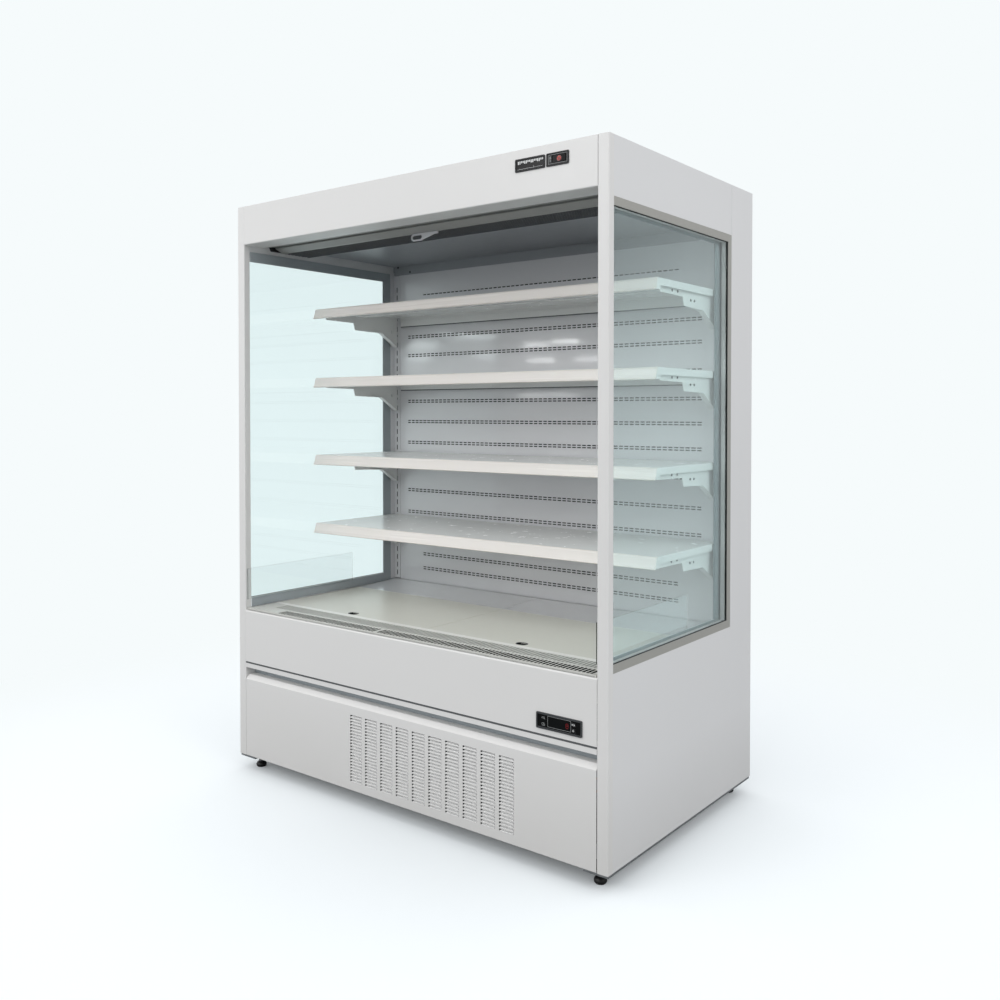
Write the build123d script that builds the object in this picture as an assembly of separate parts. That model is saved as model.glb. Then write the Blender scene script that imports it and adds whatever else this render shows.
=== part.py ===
from build123d import *
import math
import os

os.makedirs("parts", exist_ok=True)

# Open multideck display fridge, millimetres. +Z is up, the open front looks along -Y, +X is the
# right-hand end seen from the front. Depths are measured back from the front plane of the end panels.

# Overall
cabinet_width = 1540.0
cabinet_height = 2000.0
panel_depth = 910.0
bezel_proud = 4.0
panel_foot = 50.0
wall = 35.0
sheet = 1.2
foam = 60.0
running_gap = 0.05

half_width = cabinet_width / 2
inner_half = half_width - wall
front_y = bezel_proud - (panel_depth + bezel_proud) / 2

# Corner posts and side windows
post_depth = 24.0
post_wall = 2.0
window_bottom = 581.0
window_top = 1839.0
window_rear = 748.0
frame_face = 24.0
frame_web = 12.0
frame_inner_face = 56.0
pane = 4.0
spacer_face = 12.0
gasket_face = 15.0

# Tub, back wall, roof and the air duct
tub_bottom = 365.0
tub_floor = 40.0
tub_wall_front = 45.0
tub_wall = 33.0
tub_rim = 560.0
rim_front = 6.0
rim_rear = 22.0
rim_step = 470.0
sill_height = 17.0
back_front = 846.0
roof_underside = 1940.0
duct_depth = 760.0
duct_bottom = 583.0
duct_top = 1862.0
duct_half = 700.0
duct_slot_pitch = 270.0
wide_slot_rows = (866, 955, 1054, 1150, 1235, 1318, 1411, 1505, 1581)
narrow_slot_rows = (640, 697, 1749)

# Shelf uprights
upright_x = 715.0
upright_half = 14.5
upright_front = 757.0
upright_depth = 22.0
slot_pitch = 32.5
slot_height = 20.0
slot_width = 5.0
slot_base = 608.5
slots_per_upright = 37
upright_top = 1836.0

# Shelves: top surfaces sit a whole number of slot pitches apart
lowest_shelf = 851.0
shelf_steps = (0, 8, 17, 25)
shelf_half = 728.0
shelf_front = 330.0
shelf_rear = 752.0
shelf_skirt = 22.0
nose_drop = 34.0
nose_slope = 11.0
bracket_plate = 2.5

# Deck
deck_top = 575.0
deck_half = 727.0
deck_front = 150.0
deck_joint = 549.0
deck_flange = 17.0
rear_plate_rise = 8.0
finger_hole_x = 363.0
finger_hole_depth = 170.0
finger_hole_size = (34.0, 22.0)

# Return air grille
grille_front = 13.5
grille_rear = 149.0
grille_top = 576.5
grille_slots = 26
grille_slot_rows = ((17.5, 52), (66, 120))

# Canopy and blind
canopy_bottom = 1864.0
canopy_lip = 85.0
canopy_return = 57.0
ceiling_height = 1875.0
ceiling_front = 291.0
outlet_front = 173.0
outlet_bottom = 1854.0
blind_depth = 148.0
blind_roll = 24.0
roller_height = 1912.0
bar_half = 718.0
bar_top = 1871.0
bar_bottom = 1852.0
handle_centre = -22.0

# Apron and louvred panel
apron_top = 569.0
apron_bottom = 386.0
apron_return = 12.0
louvre_panel_top = 324.0
bevel = 14.0
louvre_columns = 10
louvre_rows = 22
louvre_left = -202.0
louvre_width = 53.0
louvre_pitch_x = 67.7
louvre_top = 292.0
louvre_pitch_z = 10.0
louvre_height = 4.0

# Controls
controller_box = (540.0, 690.0, 402.0, 447.0)
thermometer_box = (466.0, 567.0, 1938.0, 1974.0)
switch_box = (572.0, 645.0, 1938.0, 1974.0)
rocker_pin_x = 614.0
rocker_pin_depth = 4.0
rocker_pin_radius = 1.5
key_centre_x = 663.0
key_heights = (432.0, 416.0)
key_size = (13.0, 9.0)

# Base and feet
base_bottom = 42.0
rail_inner = 690.0
foot_x = 715.0
foot_depths = (52.0, 858.0)
stud_radius = 6.0

# Condensing unit
pipe_holes = ((-160.0, 640.0), (120.0, 600.0))
coil_left = -190.0
coil_right = 450.0
unit_fan_x = 130.0
unit_fan_z = 200.0


def y_at(depth):
    return front_y + depth


def block(x0, x1, d0, d1, z0, z1):
    centre = Pos((x0 + x1) / 2, y_at((d0 + d1) / 2), (z0 + z1) / 2)
    return centre * Box(x1 - x0, d1 - d0, z1 - z0)


def outline(points):
    return make_face(Polyline(*points, close=True))


def along_x(points, x0, x1):
    # an outline of (depth, height) points, run from x0 to x1
    face = outline([(y_at(depth), height) for depth, height in points])
    return extrude(Plane.YZ.offset(x0) * face, x1 - x0)


def facing_front(sketch, d0, d1):
    # a sketch of (x, height), run back from depth d0 to depth d1
    return extrude(Plane.XZ.offset(-y_at(d1)) * sketch, d1 - d0)


def rod(radius, length, sides=16):
    # a many-sided rod about the origin, its corners on the radius
    return extrude(RegularPolygon(radius, sides), length / 2, both=True)


def bore(radius, length, sides=16):
    # a many-sided hole whose flats touch the radius, so that a round shaft turns in it
    return extrude(RegularPolygon(radius, sides, major_radius=False), length / 2, both=True)


def lay_x(piece, x0, x1, depth, height):
    return Pos((x0 + x1) / 2, y_at(depth), height) * Rot(0, 90, 0) * piece


def rod_x(radius, x0, x1, depth, height, sides=16):
    return lay_x(rod(radius, x1 - x0, sides), x0, x1, depth, height)


def rod_y(radius, d0, d1, x, height, sides=16):
    return Pos(x, y_at((d0 + d1) / 2), height) * Rot(90, 0, 0) * rod(radius, d1 - d0, sides)


def rod_z(radius, z0, z1, x, depth, sides=16):
    return Pos(x, y_at(depth), (z0 + z1) / 2) * rod(radius, z1 - z0, sides)


def ring(radius, height, sides):
    angles = [2 * math.pi * i / sides for i in range(sides)]
    return [(radius * math.cos(a), radius * math.sin(a), height) for a in angles]


def turned(profile, sides=16):
    # a many-sided turned form through (radius, height) pairs, lowest first
    rings = [ring(radius, height, sides) for radius, height in profile]
    faces = [Face(Wire.make_polygon(rings[0][::-1])), Face(Wire.make_polygon(rings[-1]))]
    for lower, upper in zip(rings, rings[1:]):
        for i in range(sides):
            j = (i + 1) % sides
            faces.append(Face(Wire.make_polygon([lower[i], lower[j], upper[j], upper[i]])))
    return Solid(Shell(faces))


def thickened(points, thickness):
    # a bent line and its copy one thickness to its left, joined into one closed outline
    path = [Vector(*point) for point in points]
    copy = []
    for index, point in enumerate(path):
        before = (point - path[index - 1]) if index else (path[1] - point)
        after = (path[index + 1] - point) if index < len(path) - 1 else before
        before = before.normalized()
        after = after.normalized()
        left = Vector(-before.Y - after.Y, before.X + after.X)
        copy.append(point + left * (thickness / (1 + before.dot(after))))
    return [(point.X, point.Y) for point in path + copy[::-1]]


def folded(points, x0, x1, thickness=sheet):
    return along_x(thickened(points, thickness), x0, x1)


def arc_points(depth, height, radius, start, end, steps):
    # points on an arc in the depth and height plane, from start to end degrees
    angles = [math.radians(start + (end - start) * i / steps) for i in range(steps + 1)]
    return [(depth + radius * math.cos(a), height + radius * math.sin(a)) for a in angles]


def mirrored(solids):
    return [mirror(solid, Plane.YZ) for solid in solids]


def both_ends(solids):
    return solids + mirrored(solids)


def slotted(width, height, hole_width, hole_height, centres):
    return Rectangle(width, height) - [Pos(x, z) * Rectangle(hole_width, hole_height) for x, z in centres]


# ---------------------------------------------------------------- carcass

def base_frame():
    # side angles stand on the feet, and the cross rails butt against them
    flange = block(rail_inner, half_width - 2, 4, 906, base_bottom, panel_foot)
    web = block(729, 733, 16, 892, panel_foot, 95)
    side = flange + web - [Pos(foot_x, y_at(depth), 45) * bore(stud_radius + running_gap, 30)
                           for depth in foot_depths]
    rails = both_ends([side])
    rails.append(along_x([(16, 42), (60, 42), (60, 46), (20, 46), (20, 76), (16, 76)],
                         -rail_inner, rail_inner))
    rails.append(along_x([(850, 42), (894, 42), (894, 76), (890, 76), (890, 46), (850, 46)],
                         -rail_inner, rail_inner))
    for x in (-250, 250):
        rails.append(block(x - 20, x + 20, 60, 850, base_bottom, base_bottom + 4))
    return rails


def levelling_foot(side, depth):
    pad = turned([(15, 0), (18, 4), (18.5, 9), (16, 15), (10, 19)])
    stud = Pos(0, 0, 19) * extrude(RegularPolygon(9.5, 6), 6)
    stud += Pos(0, 0, 47.5) * Cylinder(stud_radius, 57)
    nut = Pos(0, 0, 54.3) * (rod(9.5, 8, 6) - bore(stud_radius, 9, 12))
    place = Pos(side * foot_x, y_at(depth), 0)
    return [place * pad, place * stud, place * nut]


def end_panel():
    body = along_x([(post_depth, panel_foot), (panel_depth, panel_foot), (panel_depth, cabinet_height),
                    (window_rear + 0.8, cabinet_height), (window_rear + 0.8, window_top),
                    (window_rear, window_top), (window_rear, window_bottom),
                    (post_depth, window_bottom)], inner_half, half_width)
    header = along_x([(post_depth, window_top), (window_rear, window_top),
                      (window_rear, cabinet_height), (post_depth, cabinet_height)],
                     inner_half, half_width)
    return [body, header]


def corner_post():
    section = Pos(half_width - wall / 2, y_at(post_depth / 2)) * Rectangle(wall, post_depth)
    section = fillet(section.vertices().sort_by(Axis.Y)[:2], 3)
    hollow = Pos(half_width - wall / 2, y_at(post_depth / 2)) * Rectangle(
        wall - 2 * post_wall, post_depth - 2 * post_wall)
    post = extrude(Plane.XY.offset(panel_foot) * section, cabinet_height - panel_foot)
    return [post - extrude(Plane.XY.offset(panel_foot) * hollow, cabinet_height - panel_foot - 3)]


def open_ring(rear, low, high, face):
    # a window surround open towards the front post: rear bar, lower bar and upper bar in one outline
    return [(post_depth, low), (rear, low), (rear, high), (post_depth, high), (post_depth, high - face),
            (rear - face, high - face), (rear - face, low + face), (post_depth, low + face)]


def window_frame():
    outer = along_x(open_ring(window_rear, window_bottom, window_top, frame_face),
                    half_width - 2, half_width)
    web = along_x(open_ring(window_rear, window_bottom, window_top, frame_web),
                  inner_half, half_width - 2)
    lip = 4.0
    inner = along_x([(post_depth, window_bottom - lip), (window_rear + lip, window_bottom - lip),
                     (window_rear + lip, window_top + lip), (post_depth, window_top + lip),
                     (post_depth, window_top - 31), (window_rear - frame_inner_face, window_top - 31),
                     (window_rear - frame_inner_face, window_bottom + 30),
                     (post_depth, window_bottom + 30)], inner_half - 3.5, inner_half)
    return [outer + web + inner]


def pane_edges(inset):
    low = window_bottom + frame_web + inset
    high = window_top - frame_web - inset
    return [(post_depth + inset, low), (window_rear - frame_web - inset, low),
            (window_rear - frame_web - inset, high), (post_depth + inset, high)]


def window_panes():
    edge = pane_edges(0.5)
    return [along_x(edge, 740, 740 + pane), along_x(edge, 762, 762 + pane)]


def window_seals():
    spacer = along_x(pane_edges(0.5), 744, 762) - along_x(pane_edges(spacer_face), 743, 763)
    gasket = along_x(pane_edges(0.5), 766, 768) - along_x(pane_edges(gasket_face), 765, 769)
    return [spacer, gasket]


def side_guard():
    return [along_x([(6, 579), (515, 579), (515, 585), (14, 716), (6, 716)], 728.5, 731.5)]


def insulated_shell():
    # two foamed slabs: the roof rests on the top of the back wall
    back = block(-inner_half, inner_half, back_front, back_front + foam, tub_bottom, roof_underside)
    roof = block(-inner_half, inner_half, canopy_return + 3, back_front + foam, roof_underside,
                 cabinet_height - 2)
    return [back, roof]


def tub():
    shell = along_x([(0.5, tub_bottom), (41, tub_bottom), (41, tub_bottom - 35), (45, tub_bottom - 35),
                     (45, tub_bottom), (back_front, tub_bottom), (back_front, tub_bottom + tub_floor),
                     (tub_wall_front + tub_wall, tub_bottom + tub_floor),
                     (tub_wall_front + tub_wall, rim_step + 15), (rim_rear, rim_step + 58),
                     (rim_rear, tub_rim), (rim_front, tub_rim), (rim_front, rim_step + 30),
                     (tub_wall_front, rim_step), (tub_wall_front, tub_bottom + sill_height),
                     (0.5, tub_bottom + sill_height)],
                    -inner_half, inner_half)
    drain_x = -420.0
    drain_depth = 300.0
    shell -= rod_z(14, tub_bottom - 1, tub_bottom + tub_floor + 1, drain_x, drain_depth)
    shell -= [rod_z(9, tub_bottom - 1, tub_bottom + tub_floor + 1, *place) for place in pipe_holes]
    pipe = rod_z(14, 250, tub_bottom + tub_floor, drain_x, drain_depth)
    pipe -= rod_z(12, 249, tub_bottom + tub_floor + 1, drain_x, drain_depth)
    return [shell, pipe]


def duct_panel():
    # rows of air slots; the two lowest rows and the top one are narrower than the rest
    centre_z = (duct_bottom + duct_top) / 2
    holes = []
    for heights, count in ((wide_slot_rows, 5), (narrow_slot_rows, 4)):
        for height in heights:
            holes += [((step - (count - 1) / 2) * duct_slot_pitch, height - centre_z)
                      for step in range(count)]
    face = Pos(0, centre_z) * slotted(2 * duct_half, duct_top - duct_bottom, duct_slot_pitch - 16, 5,
                                      holes)
    return [facing_front(face, duct_depth, duct_depth + 1.5)]


def shelf_upright():
    section = outline([(x, y_at(depth)) for x, depth in thickened(
        [(upright_x - upright_half, upright_front + upright_depth),
         (upright_x - upright_half, upright_front), (inner_half, upright_front)], 1.5)])
    back = Pos(upright_x + upright_half - 0.75, y_at(upright_front + upright_depth / 2)) * Rectangle(
        1.5, upright_depth)
    channel = extrude(Plane.XY.offset(586) * (section + back), upright_top - 586)
    slots = [block(upright_x - slot_width / 2, upright_x + slot_width / 2, upright_front - 1,
                   upright_front + 3, slot_base + i * slot_pitch - slot_height / 2,
                   slot_base + i * slot_pitch + slot_height / 2) for i in range(slots_per_upright)]
    return [channel - slots]


# ---------------------------------------------------------------- shelves

def shelf_height(number):
    return lowest_shelf + shelf_steps[number] * slot_pitch


def shelf_bracket(top):
    # hooks sit in slots whose lower edges are slot_height / 2 under the slot centres
    seat = top - sheet - 0.1
    plate = along_x([(352, seat), (756.5, seat), (756.5, seat - 122), (738, seat - 122),
                     (690, seat - 92), (650, seat - 69), (518, seat - 65), (510, seat - 38),
                     (368, seat - 36)], upright_x - bracket_plate / 2, upright_x + bracket_plate / 2)
    flange = folded([(600, seat - 67.5), (650, seat - 69), (690, seat - 92), (737, seat - 121)],
                    upright_x - 18, upright_x, 2.0)
    plate += flange
    first = math.ceil((seat - 110 - slot_base) / slot_pitch)
    for index in (first, first + 2):
        centre = slot_base + index * slot_pitch
        plate += block(upright_x - bracket_plate / 2, upright_x + bracket_plate / 2, 755, 764,
                       centre - 9.4, centre + 2)
        plate += block(upright_x - bracket_plate / 2, upright_x + bracket_plate / 2, 759.2, 764,
                       centre - 17, centre - 9)
    return plate - block(upright_x - 5, upright_x + 5, 720, 726, seat - 66, seat - 54)


def shelf_brackets():
    right = [shelf_bracket(shelf_height(number)) for number in range(len(shelf_steps))]
    return both_ends(right)


def shelf_tray(top):
    nose = shelf_front - nose_slope
    tray = folded([(shelf_rear, top), (shelf_front, top), (nose, top - nose_drop),
                   (nose + 26, top - nose_drop), (nose + 26, top - nose_drop + 7)],
                  -shelf_half + sheet, shelf_half - sheet)
    tray += folded([(shelf_rear, top - 14), (shelf_rear, top)], -690, 690, sheet)
    tray += folded([(500, top - sheet), (500, top - 18), (540, top - 18), (540, top - sheet)],
                   -690, 690)
    skirt = along_x([(nose, top - nose_drop), (nose + 26, top - nose_drop), (nose + 30, top - shelf_skirt),
                     (shelf_rear, top - shelf_skirt), (shelf_rear, top), (shelf_front, top)],
                    shelf_half - sheet, shelf_half)
    return [tray + skirt + mirror(skirt, Plane.YZ)]


def price_rail(top):
    # a plastic strip clipped over the nose: small top lip, hollow front, small bottom lip
    face = [(shelf_front + 5, top + 0.3), (shelf_front - 3.5, top + 0.3)]
    bow = 2.0
    steps = 6
    for i in range(steps + 1):
        t = i / steps
        inward = bow * math.sin(math.pi * t)
        face.append((shelf_front - 5 - nose_slope * t + inward, top - 3 - 32 * t))
    face.append((shelf_front - nose_slope - 8, top - nose_drop - 3.5))
    face.append((shelf_front - nose_slope - 1, top - nose_drop - 3.5))
    return [folded(face, -shelf_half - 1.5, shelf_half + 1.5, -1.4)]


# ---------------------------------------------------------------- deck and return air

def deck_pan(side):
    x0 = min(side * 1.0, side * deck_half)
    x1 = max(side * 1.0, side * deck_half)
    pan = block(x0, x1, deck_front, deck_joint, deck_top - deck_flange, deck_top)
    pan -= block(x0 + sheet, x1 - sheet, deck_front + sheet, deck_joint - sheet,
                 deck_top - deck_flange - 1, deck_top - sheet)
    hole = Pos(side * finger_hole_x, y_at(finger_hole_depth)) * SlotOverall(*finger_hole_size)
    return [pan - extrude(Plane.XY.offset(deck_top - 3) * hole, 6)]


def rear_deck_plates():
    profile = [(duct_depth - 4, deck_top + rear_plate_rise), (deck_joint + 2, deck_top),
               (deck_joint + 2, deck_top - deck_flange)]
    right = folded(profile, 1, deck_half)
    return both_ends([right])


def return_grille():
    profile = [(grille_rear, tub_rim + 3), (grille_rear, grille_top), (grille_front + 4, grille_top)]
    profile += arc_points(grille_front + 4, grille_top - 4, 4, 90, 180, 3)[1:]
    profile.append((grille_front, tub_rim + 0.5))
    grille = folded(profile, -deck_half + 1, deck_half - 1, sheet)
    pitch = (2 * deck_half - 60) / grille_slots
    slots = []
    for i in range(grille_slots):
        x = (i - (grille_slots - 1) / 2) * pitch
        for d0, d1 in grille_slot_rows:
            slots.append(block(x - pitch * 0.38, x + pitch * 0.38, d0, d1, grille_top - 3, grille_top + 1))
    return [grille - slots]


# ---------------------------------------------------------------- canopy

def panel_cutout(box, margin):
    x0, x1, z0, z1 = box
    return block(x0 + margin, x1 - margin, -2, 6, z0 + margin, z1 - margin)


def canopy_front():
    profile = [(canopy_lip, canopy_bottom + 10), (canopy_lip, canopy_bottom), (4, canopy_bottom)]
    profile += arc_points(4, canopy_bottom + 4, 4, 270, 180, 3)[1:]
    profile += [(0, cabinet_height), (canopy_return, cabinet_height)]
    front = folded(profile, -inner_half, inner_half, -sheet)
    return [front - [panel_cutout(thermometer_box, 3), panel_cutout(switch_box, 3)]]


def blind_housing():
    front = folded([(86, canopy_bottom + 12), (86, canopy_bottom + 2), (102, canopy_bottom + 2),
                    (102, canopy_bottom + 6), (124, canopy_bottom + 6), (124, canopy_bottom + 13)],
                   -inner_half + 12, inner_half - 12, 1.5)
    rear = folded([(outlet_front - 2, outlet_bottom), (outlet_front - 2, roof_underside)],
                  -inner_half + 12, inner_half - 12, -1.5)
    return [front, rear]


def ceiling_panel():
    return [folded([(ceiling_front, outlet_bottom), (ceiling_front, ceiling_height),
                    (duct_depth - 1.5, ceiling_height), (duct_depth - 1.5, ceiling_height - 38)],
                   -inner_half, inner_half, -sheet)]


def air_outlet():
    columns = 14
    pitch_x = 2 * (inner_half - 10) / columns
    depth_span = ceiling_front - outlet_front
    pitch_d = depth_span / 2
    grid = block(-inner_half + 5, inner_half - 5, outlet_front, ceiling_front, outlet_bottom,
                 outlet_bottom + 18)
    cells = []
    for i in range(columns):
        for j in range(2):
            x = (i - (columns - 1) / 2) * pitch_x
            depth = outlet_front + (j + 0.5) * pitch_d
            cells.append(block(x - pitch_x / 2 + 2.5, x + pitch_x / 2 - 2.5, depth - pitch_d / 2 + 3,
                               depth + pitch_d / 2 - 3, outlet_bottom - 1, outlet_bottom + 19))
    return [grid - cells]


def blind_bracket():
    roller_depth = blind_depth - 0.4 - blind_roll
    plate = along_x([(roller_depth - 20, roof_underside), (roller_depth - 20, 1884), (118, 1856),
                     (169, 1856), (169, roof_underside)], inner_half - 11, inner_half)
    hole = bore(stud_radius + running_gap, 8)
    return [plate - lay_x(hole, inner_half - 12, inner_half - 4, roller_depth, roller_height)]


def blind_roller():
    roller_depth = blind_depth - 0.4 - blind_roll
    roll = rod_x(blind_roll, -716, 716, roller_depth, roller_height, 32)
    pins = Cylinder(stud_radius, 2 * inner_half - 10)
    roll += lay_x(pins, -inner_half + 5, inner_half - 5, roller_depth, roller_height)
    return [roll]


def blind_curtain():
    return [block(-714, 714, blind_depth - 0.3, blind_depth + 0.3, bar_top, roller_height)]


def blind_bar():
    # a hollow extrusion whose front slopes down and back
    skin = 1.6
    outside = [(126, bar_top), (126, bar_top - 6), (158, bar_bottom), (169.5, bar_bottom),
               (169.5, bar_top)]
    inside = [(126 + skin, bar_top - skin), (126 + skin, bar_top - 5.2), (158.5, bar_bottom + skin),
              (169.5 - skin, bar_bottom + skin), (169.5 - skin, bar_top - skin)]
    return [along_x(outside, -bar_half, bar_half) - along_x(inside, -bar_half - 1, bar_half + 1)]


def blind_handle():
    loop_x = handle_centre - 30
    outer = Pos(loop_x, bar_bottom - 12) * SlotOverall(56, 24)
    arm = outline([(loop_x + 14, bar_bottom - 24), (handle_centre + 40, bar_bottom - 9),
                   (handle_centre + 58, bar_bottom - 8), (handle_centre + 58, bar_bottom - 1),
                   (handle_centre + 46, bar_bottom), (loop_x - 4, bar_bottom)])
    inner = Pos(loop_x - 2, bar_bottom - 12.5) * SlotOverall(42, 13)
    return [facing_front(outer + arm - inner, 160, 165)]


# ---------------------------------------------------------------- front panels

def apron_panel():
    profile = [(30, apron_bottom + 6), (30, apron_bottom), (0, apron_bottom), (0, apron_top - 6)]
    profile += arc_points(6, apron_top - 6, 6, 180, 90, 4)[1:]
    profile += [(apron_return, apron_top), (apron_return, tub_rim + 1)]
    apron = folded(profile, -inner_half, inner_half, -sheet)
    return [apron - panel_cutout(controller_box, 3)]


def louvred_panel():
    profile = [(14, panel_foot), (0, panel_foot), (0, louvre_panel_top),
               (bevel, louvre_panel_top + bevel), (40, louvre_panel_top + bevel),
               (40, louvre_panel_top + bevel - 10)]
    half = inner_half - 1.5
    panel = folded(profile, -half, half, -sheet)
    slots = []
    for column in range(louvre_columns):
        x = louvre_left + louvre_width / 2 + column * louvre_pitch_x
        for row in range(louvre_rows):
            slots.append(Pos(x, louvre_top - row * louvre_pitch_z) * Rectangle(louvre_width, louvre_height))
    cutters = facing_front(Sketch() + slots, -1, 3)
    return [panel - cutters]


def framed_box(box, proud, body_depth, margin):
    x0, x1, z0, z1 = box
    face = Pos((x0 + x1) / 2, (z0 + z1) / 2) * Rectangle(x1 - x0, z1 - z0)
    face = fillet(face.vertices(), 3)
    bezel = facing_front(face, -proud, 0)
    body = block(x0 + margin, x1 - margin, 0, body_depth, z0 + margin, z1 - margin)
    return bezel + body


def controller_bezel():
    x0, x1, z0, z1 = controller_box
    housing = framed_box(controller_box, bezel_proud, 40, 3.2)
    housing -= block(x0 + 4, x1 - 4, -bezel_proud - 1, -bezel_proud + 2, z0 + 5, z1 - 5)
    housing += block(578, 655, -bezel_proud + 1.2, -1, z0 + 8, z1 - 6)
    for height in key_heights:
        housing -= block(key_centre_x - key_size[0] / 2 - 0.3, key_centre_x + key_size[0] / 2 + 0.3,
                         -bezel_proud, 6, height - key_size[1] / 2 - 0.3, height + key_size[1] / 2 + 0.3)
    return [housing]


def controller_key(height):
    key = Pos(key_centre_x, height) * Rectangle(*key_size)
    return [facing_front(fillet(key.vertices(), 1.5), -bezel_proud + 0.6, 4)]


def thermometer_module():
    x0, x1, z0, z1 = thermometer_box
    housing = framed_box(thermometer_box, 3, 22, 3.2)
    return [housing - block(x0 + 5, x1 - 5, -4, -1.5, z0 + 5, z1 - 5)]


def switch_housing():
    x0, x1, z0, z1 = switch_box
    housing = framed_box(switch_box, 3, 30, 3.2)
    housing -= block(x0 + 4, x1 - 4, -4, -2, z0 + 4, z1 - 4)
    rocker_pocket = block(591, 637, -4, 14, 1946, 1967)
    pin = Pos(rocker_pin_x, y_at(rocker_pin_depth), 1956.5) * Cylinder(rocker_pin_radius, 23)
    return [housing - rocker_pocket + pin]


def rocker_switch():
    # the rocker turns about an upright pin; the half that is pressed in lies flush
    points = [(592, -1.0), (614, -1.8), (636, -5.0 + 1.2), (636, 3), (628, 8), (600, 8), (592, 3)]
    face = outline([(x, y_at(depth)) for x, depth in points])
    face -= Pos(rocker_pin_x, y_at(rocker_pin_depth)) * Circle(rocker_pin_radius + running_gap)
    return [extrude(Plane.XY.offset(1946.5) * face, 20)]


# ---------------------------------------------------------------- refrigeration

def axial_fan(tip_radius, hub_radius, blade_count, depth, x, z, width):
    hub = rod_y(hub_radius, depth - width / 2, depth + width / 2, x, z)
    blade = outline([(hub_radius - 3, -hub_radius * 0.35), (tip_radius * 0.96, -tip_radius * 0.24),
                     (tip_radius, 0), (tip_radius * 0.96, tip_radius * 0.3),
                     (hub_radius - 3, hub_radius * 0.4)])
    blade = extrude(blade, 1.0, both=True)
    blade = Rot(28, 0, 0) * blade
    fan = hub
    for i in range(blade_count):
        fan += Pos(x, y_at(depth), z) * Rot(0, 360 / blade_count * i, 0) * Rot(90, 0, 0) * blade
    return [fan]


def deck_frame():
    # side ledges and cross bars that carry the deck, with the fan plate under the middle bar
    ledge_inner = deck_half - 7
    parts = both_ends([block(ledge_inner, inner_half, 80, 756, 553, 557)])
    for depth in (152, 326, 534):
        parts.append(block(-ledge_inner, ledge_inner, depth, depth + 16, 553, 557))
    plate = block(-inner_half, inner_half, 330, 332, tub_bottom + tub_floor, 553)
    parts.append(plate - [rod_y(68, 325, 337, x, 480, 28) for x in (-350, 350)])
    for x in (-350, 350):
        motor = rod_y(26, 360, 400, x, 480)
        motor += block(x - 80, x + 80, 384, 388, 474, 486)
        motor += block(x - 80, x - 76, 332, 388, 474, 486)
        motor += block(x + 76, x + 80, 332, 388, 474, 486)
        parts.append(motor)
    return parts


def evaporator_fan(side):
    fan = axial_fan(60, 24, 5, 346, side * 350, 480, 22)[0]
    shaft = rod_y(4, 350, 359.5, side * 350, 480)
    return [fan + shaft]


def evaporator_coil():
    block_of_fins = block(-560, 560, 470, 700, tub_bottom + tub_floor + 6, 540)
    ends = [block(-564, -560, 462, 708, tub_bottom + tub_floor, 546),
            block(560, 564, 462, 708, tub_bottom + tub_floor, 546)]
    return [block_of_fins] + ends


def unit_tray():
    tray = block(-640, 640, 64, 846, panel_foot, panel_foot + 14)
    return [tray - block(-638, 638, 66, 844, panel_foot + 2, panel_foot + 15)]


def condenser_coil():
    fins = block(coil_left + 3, coil_right - 3, 66.5, 112, panel_foot + 6, 334)
    ends = [block(x, x + 3, 66.5, 116, panel_foot + 2, 340) for x in (coil_left, coil_right - 3)]
    return [fins] + ends


def condenser_shroud():
    shroud = block(coil_left, coil_right, 116, 172, panel_foot + 2, 340)
    shroud -= block(coil_left + 2, coil_right - 2, 115, 170, panel_foot + 4, 338)
    shroud -= rod_y(128, 160, 180, unit_fan_x, unit_fan_z, 32)
    motor = rod_y(32, 186, 236, unit_fan_x, unit_fan_z)
    motor += block(unit_fan_x - 140, unit_fan_x + 140, 200, 206, unit_fan_z - 8, unit_fan_z + 8)
    for side in (-1, 1):
        motor += block(unit_fan_x + side * 138 - 2, unit_fan_x + side * 138 + 2, 172, 206,
                       unit_fan_z - 8, unit_fan_z + 8)
    return [shroud, motor]


def condenser_fan():
    fan = axial_fan(120, 34, 5, 152, unit_fan_x, unit_fan_z, 26)[0]
    return [fan + rod_y(5, 160, 185.5, unit_fan_x, unit_fan_z)]


def compressor():
    # a welded hermetic shell: domed top and bottom, a weld seam flange, feet and a terminal cover
    radius = 84.0
    tilts = [math.radians(angle) for angle in (20, 42, 66, 90)]
    lower = [(radius * math.sin(a), 110 - 42 * math.cos(a)) for a in tilts]
    upper = [(radius * math.sin(a), 210 + 46 * math.cos(a)) for a in tilts[::-1]]
    body = turned(lower + upper, 16) + Pos(0, 0, 171) * rod(radius + 4, 6, 16)
    body += Pos(0, 0, 70) * (extrude(Rectangle(190, 130), 3) - extrude(Rectangle(60, 60), 3))
    body += Pos(-radius - 8, 0, 150) * Box(36, 60, 70)
    body += Pos(88, 0, 190) * Rot(0, 90, 0) * rod(8, 24, 12)
    body += Pos(0, 0, 262) * rod(6, 20, 12)
    place = Pos(-330, y_at(470), 0)
    grommets = [place * Pos(x, y, 61) * rod(14, 18, 12) for x in (-80, 80) for y in (-50, 50)]
    return [place * body] + grommets


def tube(points, radius):
    # straight runs with each corner cut by two short runs; each point is (x, depth, height)
    corners = [Vector(x, y_at(depth), z) for x, depth, z in points]
    line = [corners[0]]
    for before, corner, after in zip(corners, corners[1:], corners[2:]):
        back = (before - corner).normalized()
        ahead = (after - corner).normalized()
        line += [corner + back * 22, corner + (back + ahead) * 6.5, corner + ahead * 22]
    line.append(corners[-1])
    path = Polyline(*line)
    section = Plane(path @ 0, z_dir=path % 0) * RegularPolygon(radius, 8)
    return sweep(section, path, transition=Transition.RIGHT)


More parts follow.
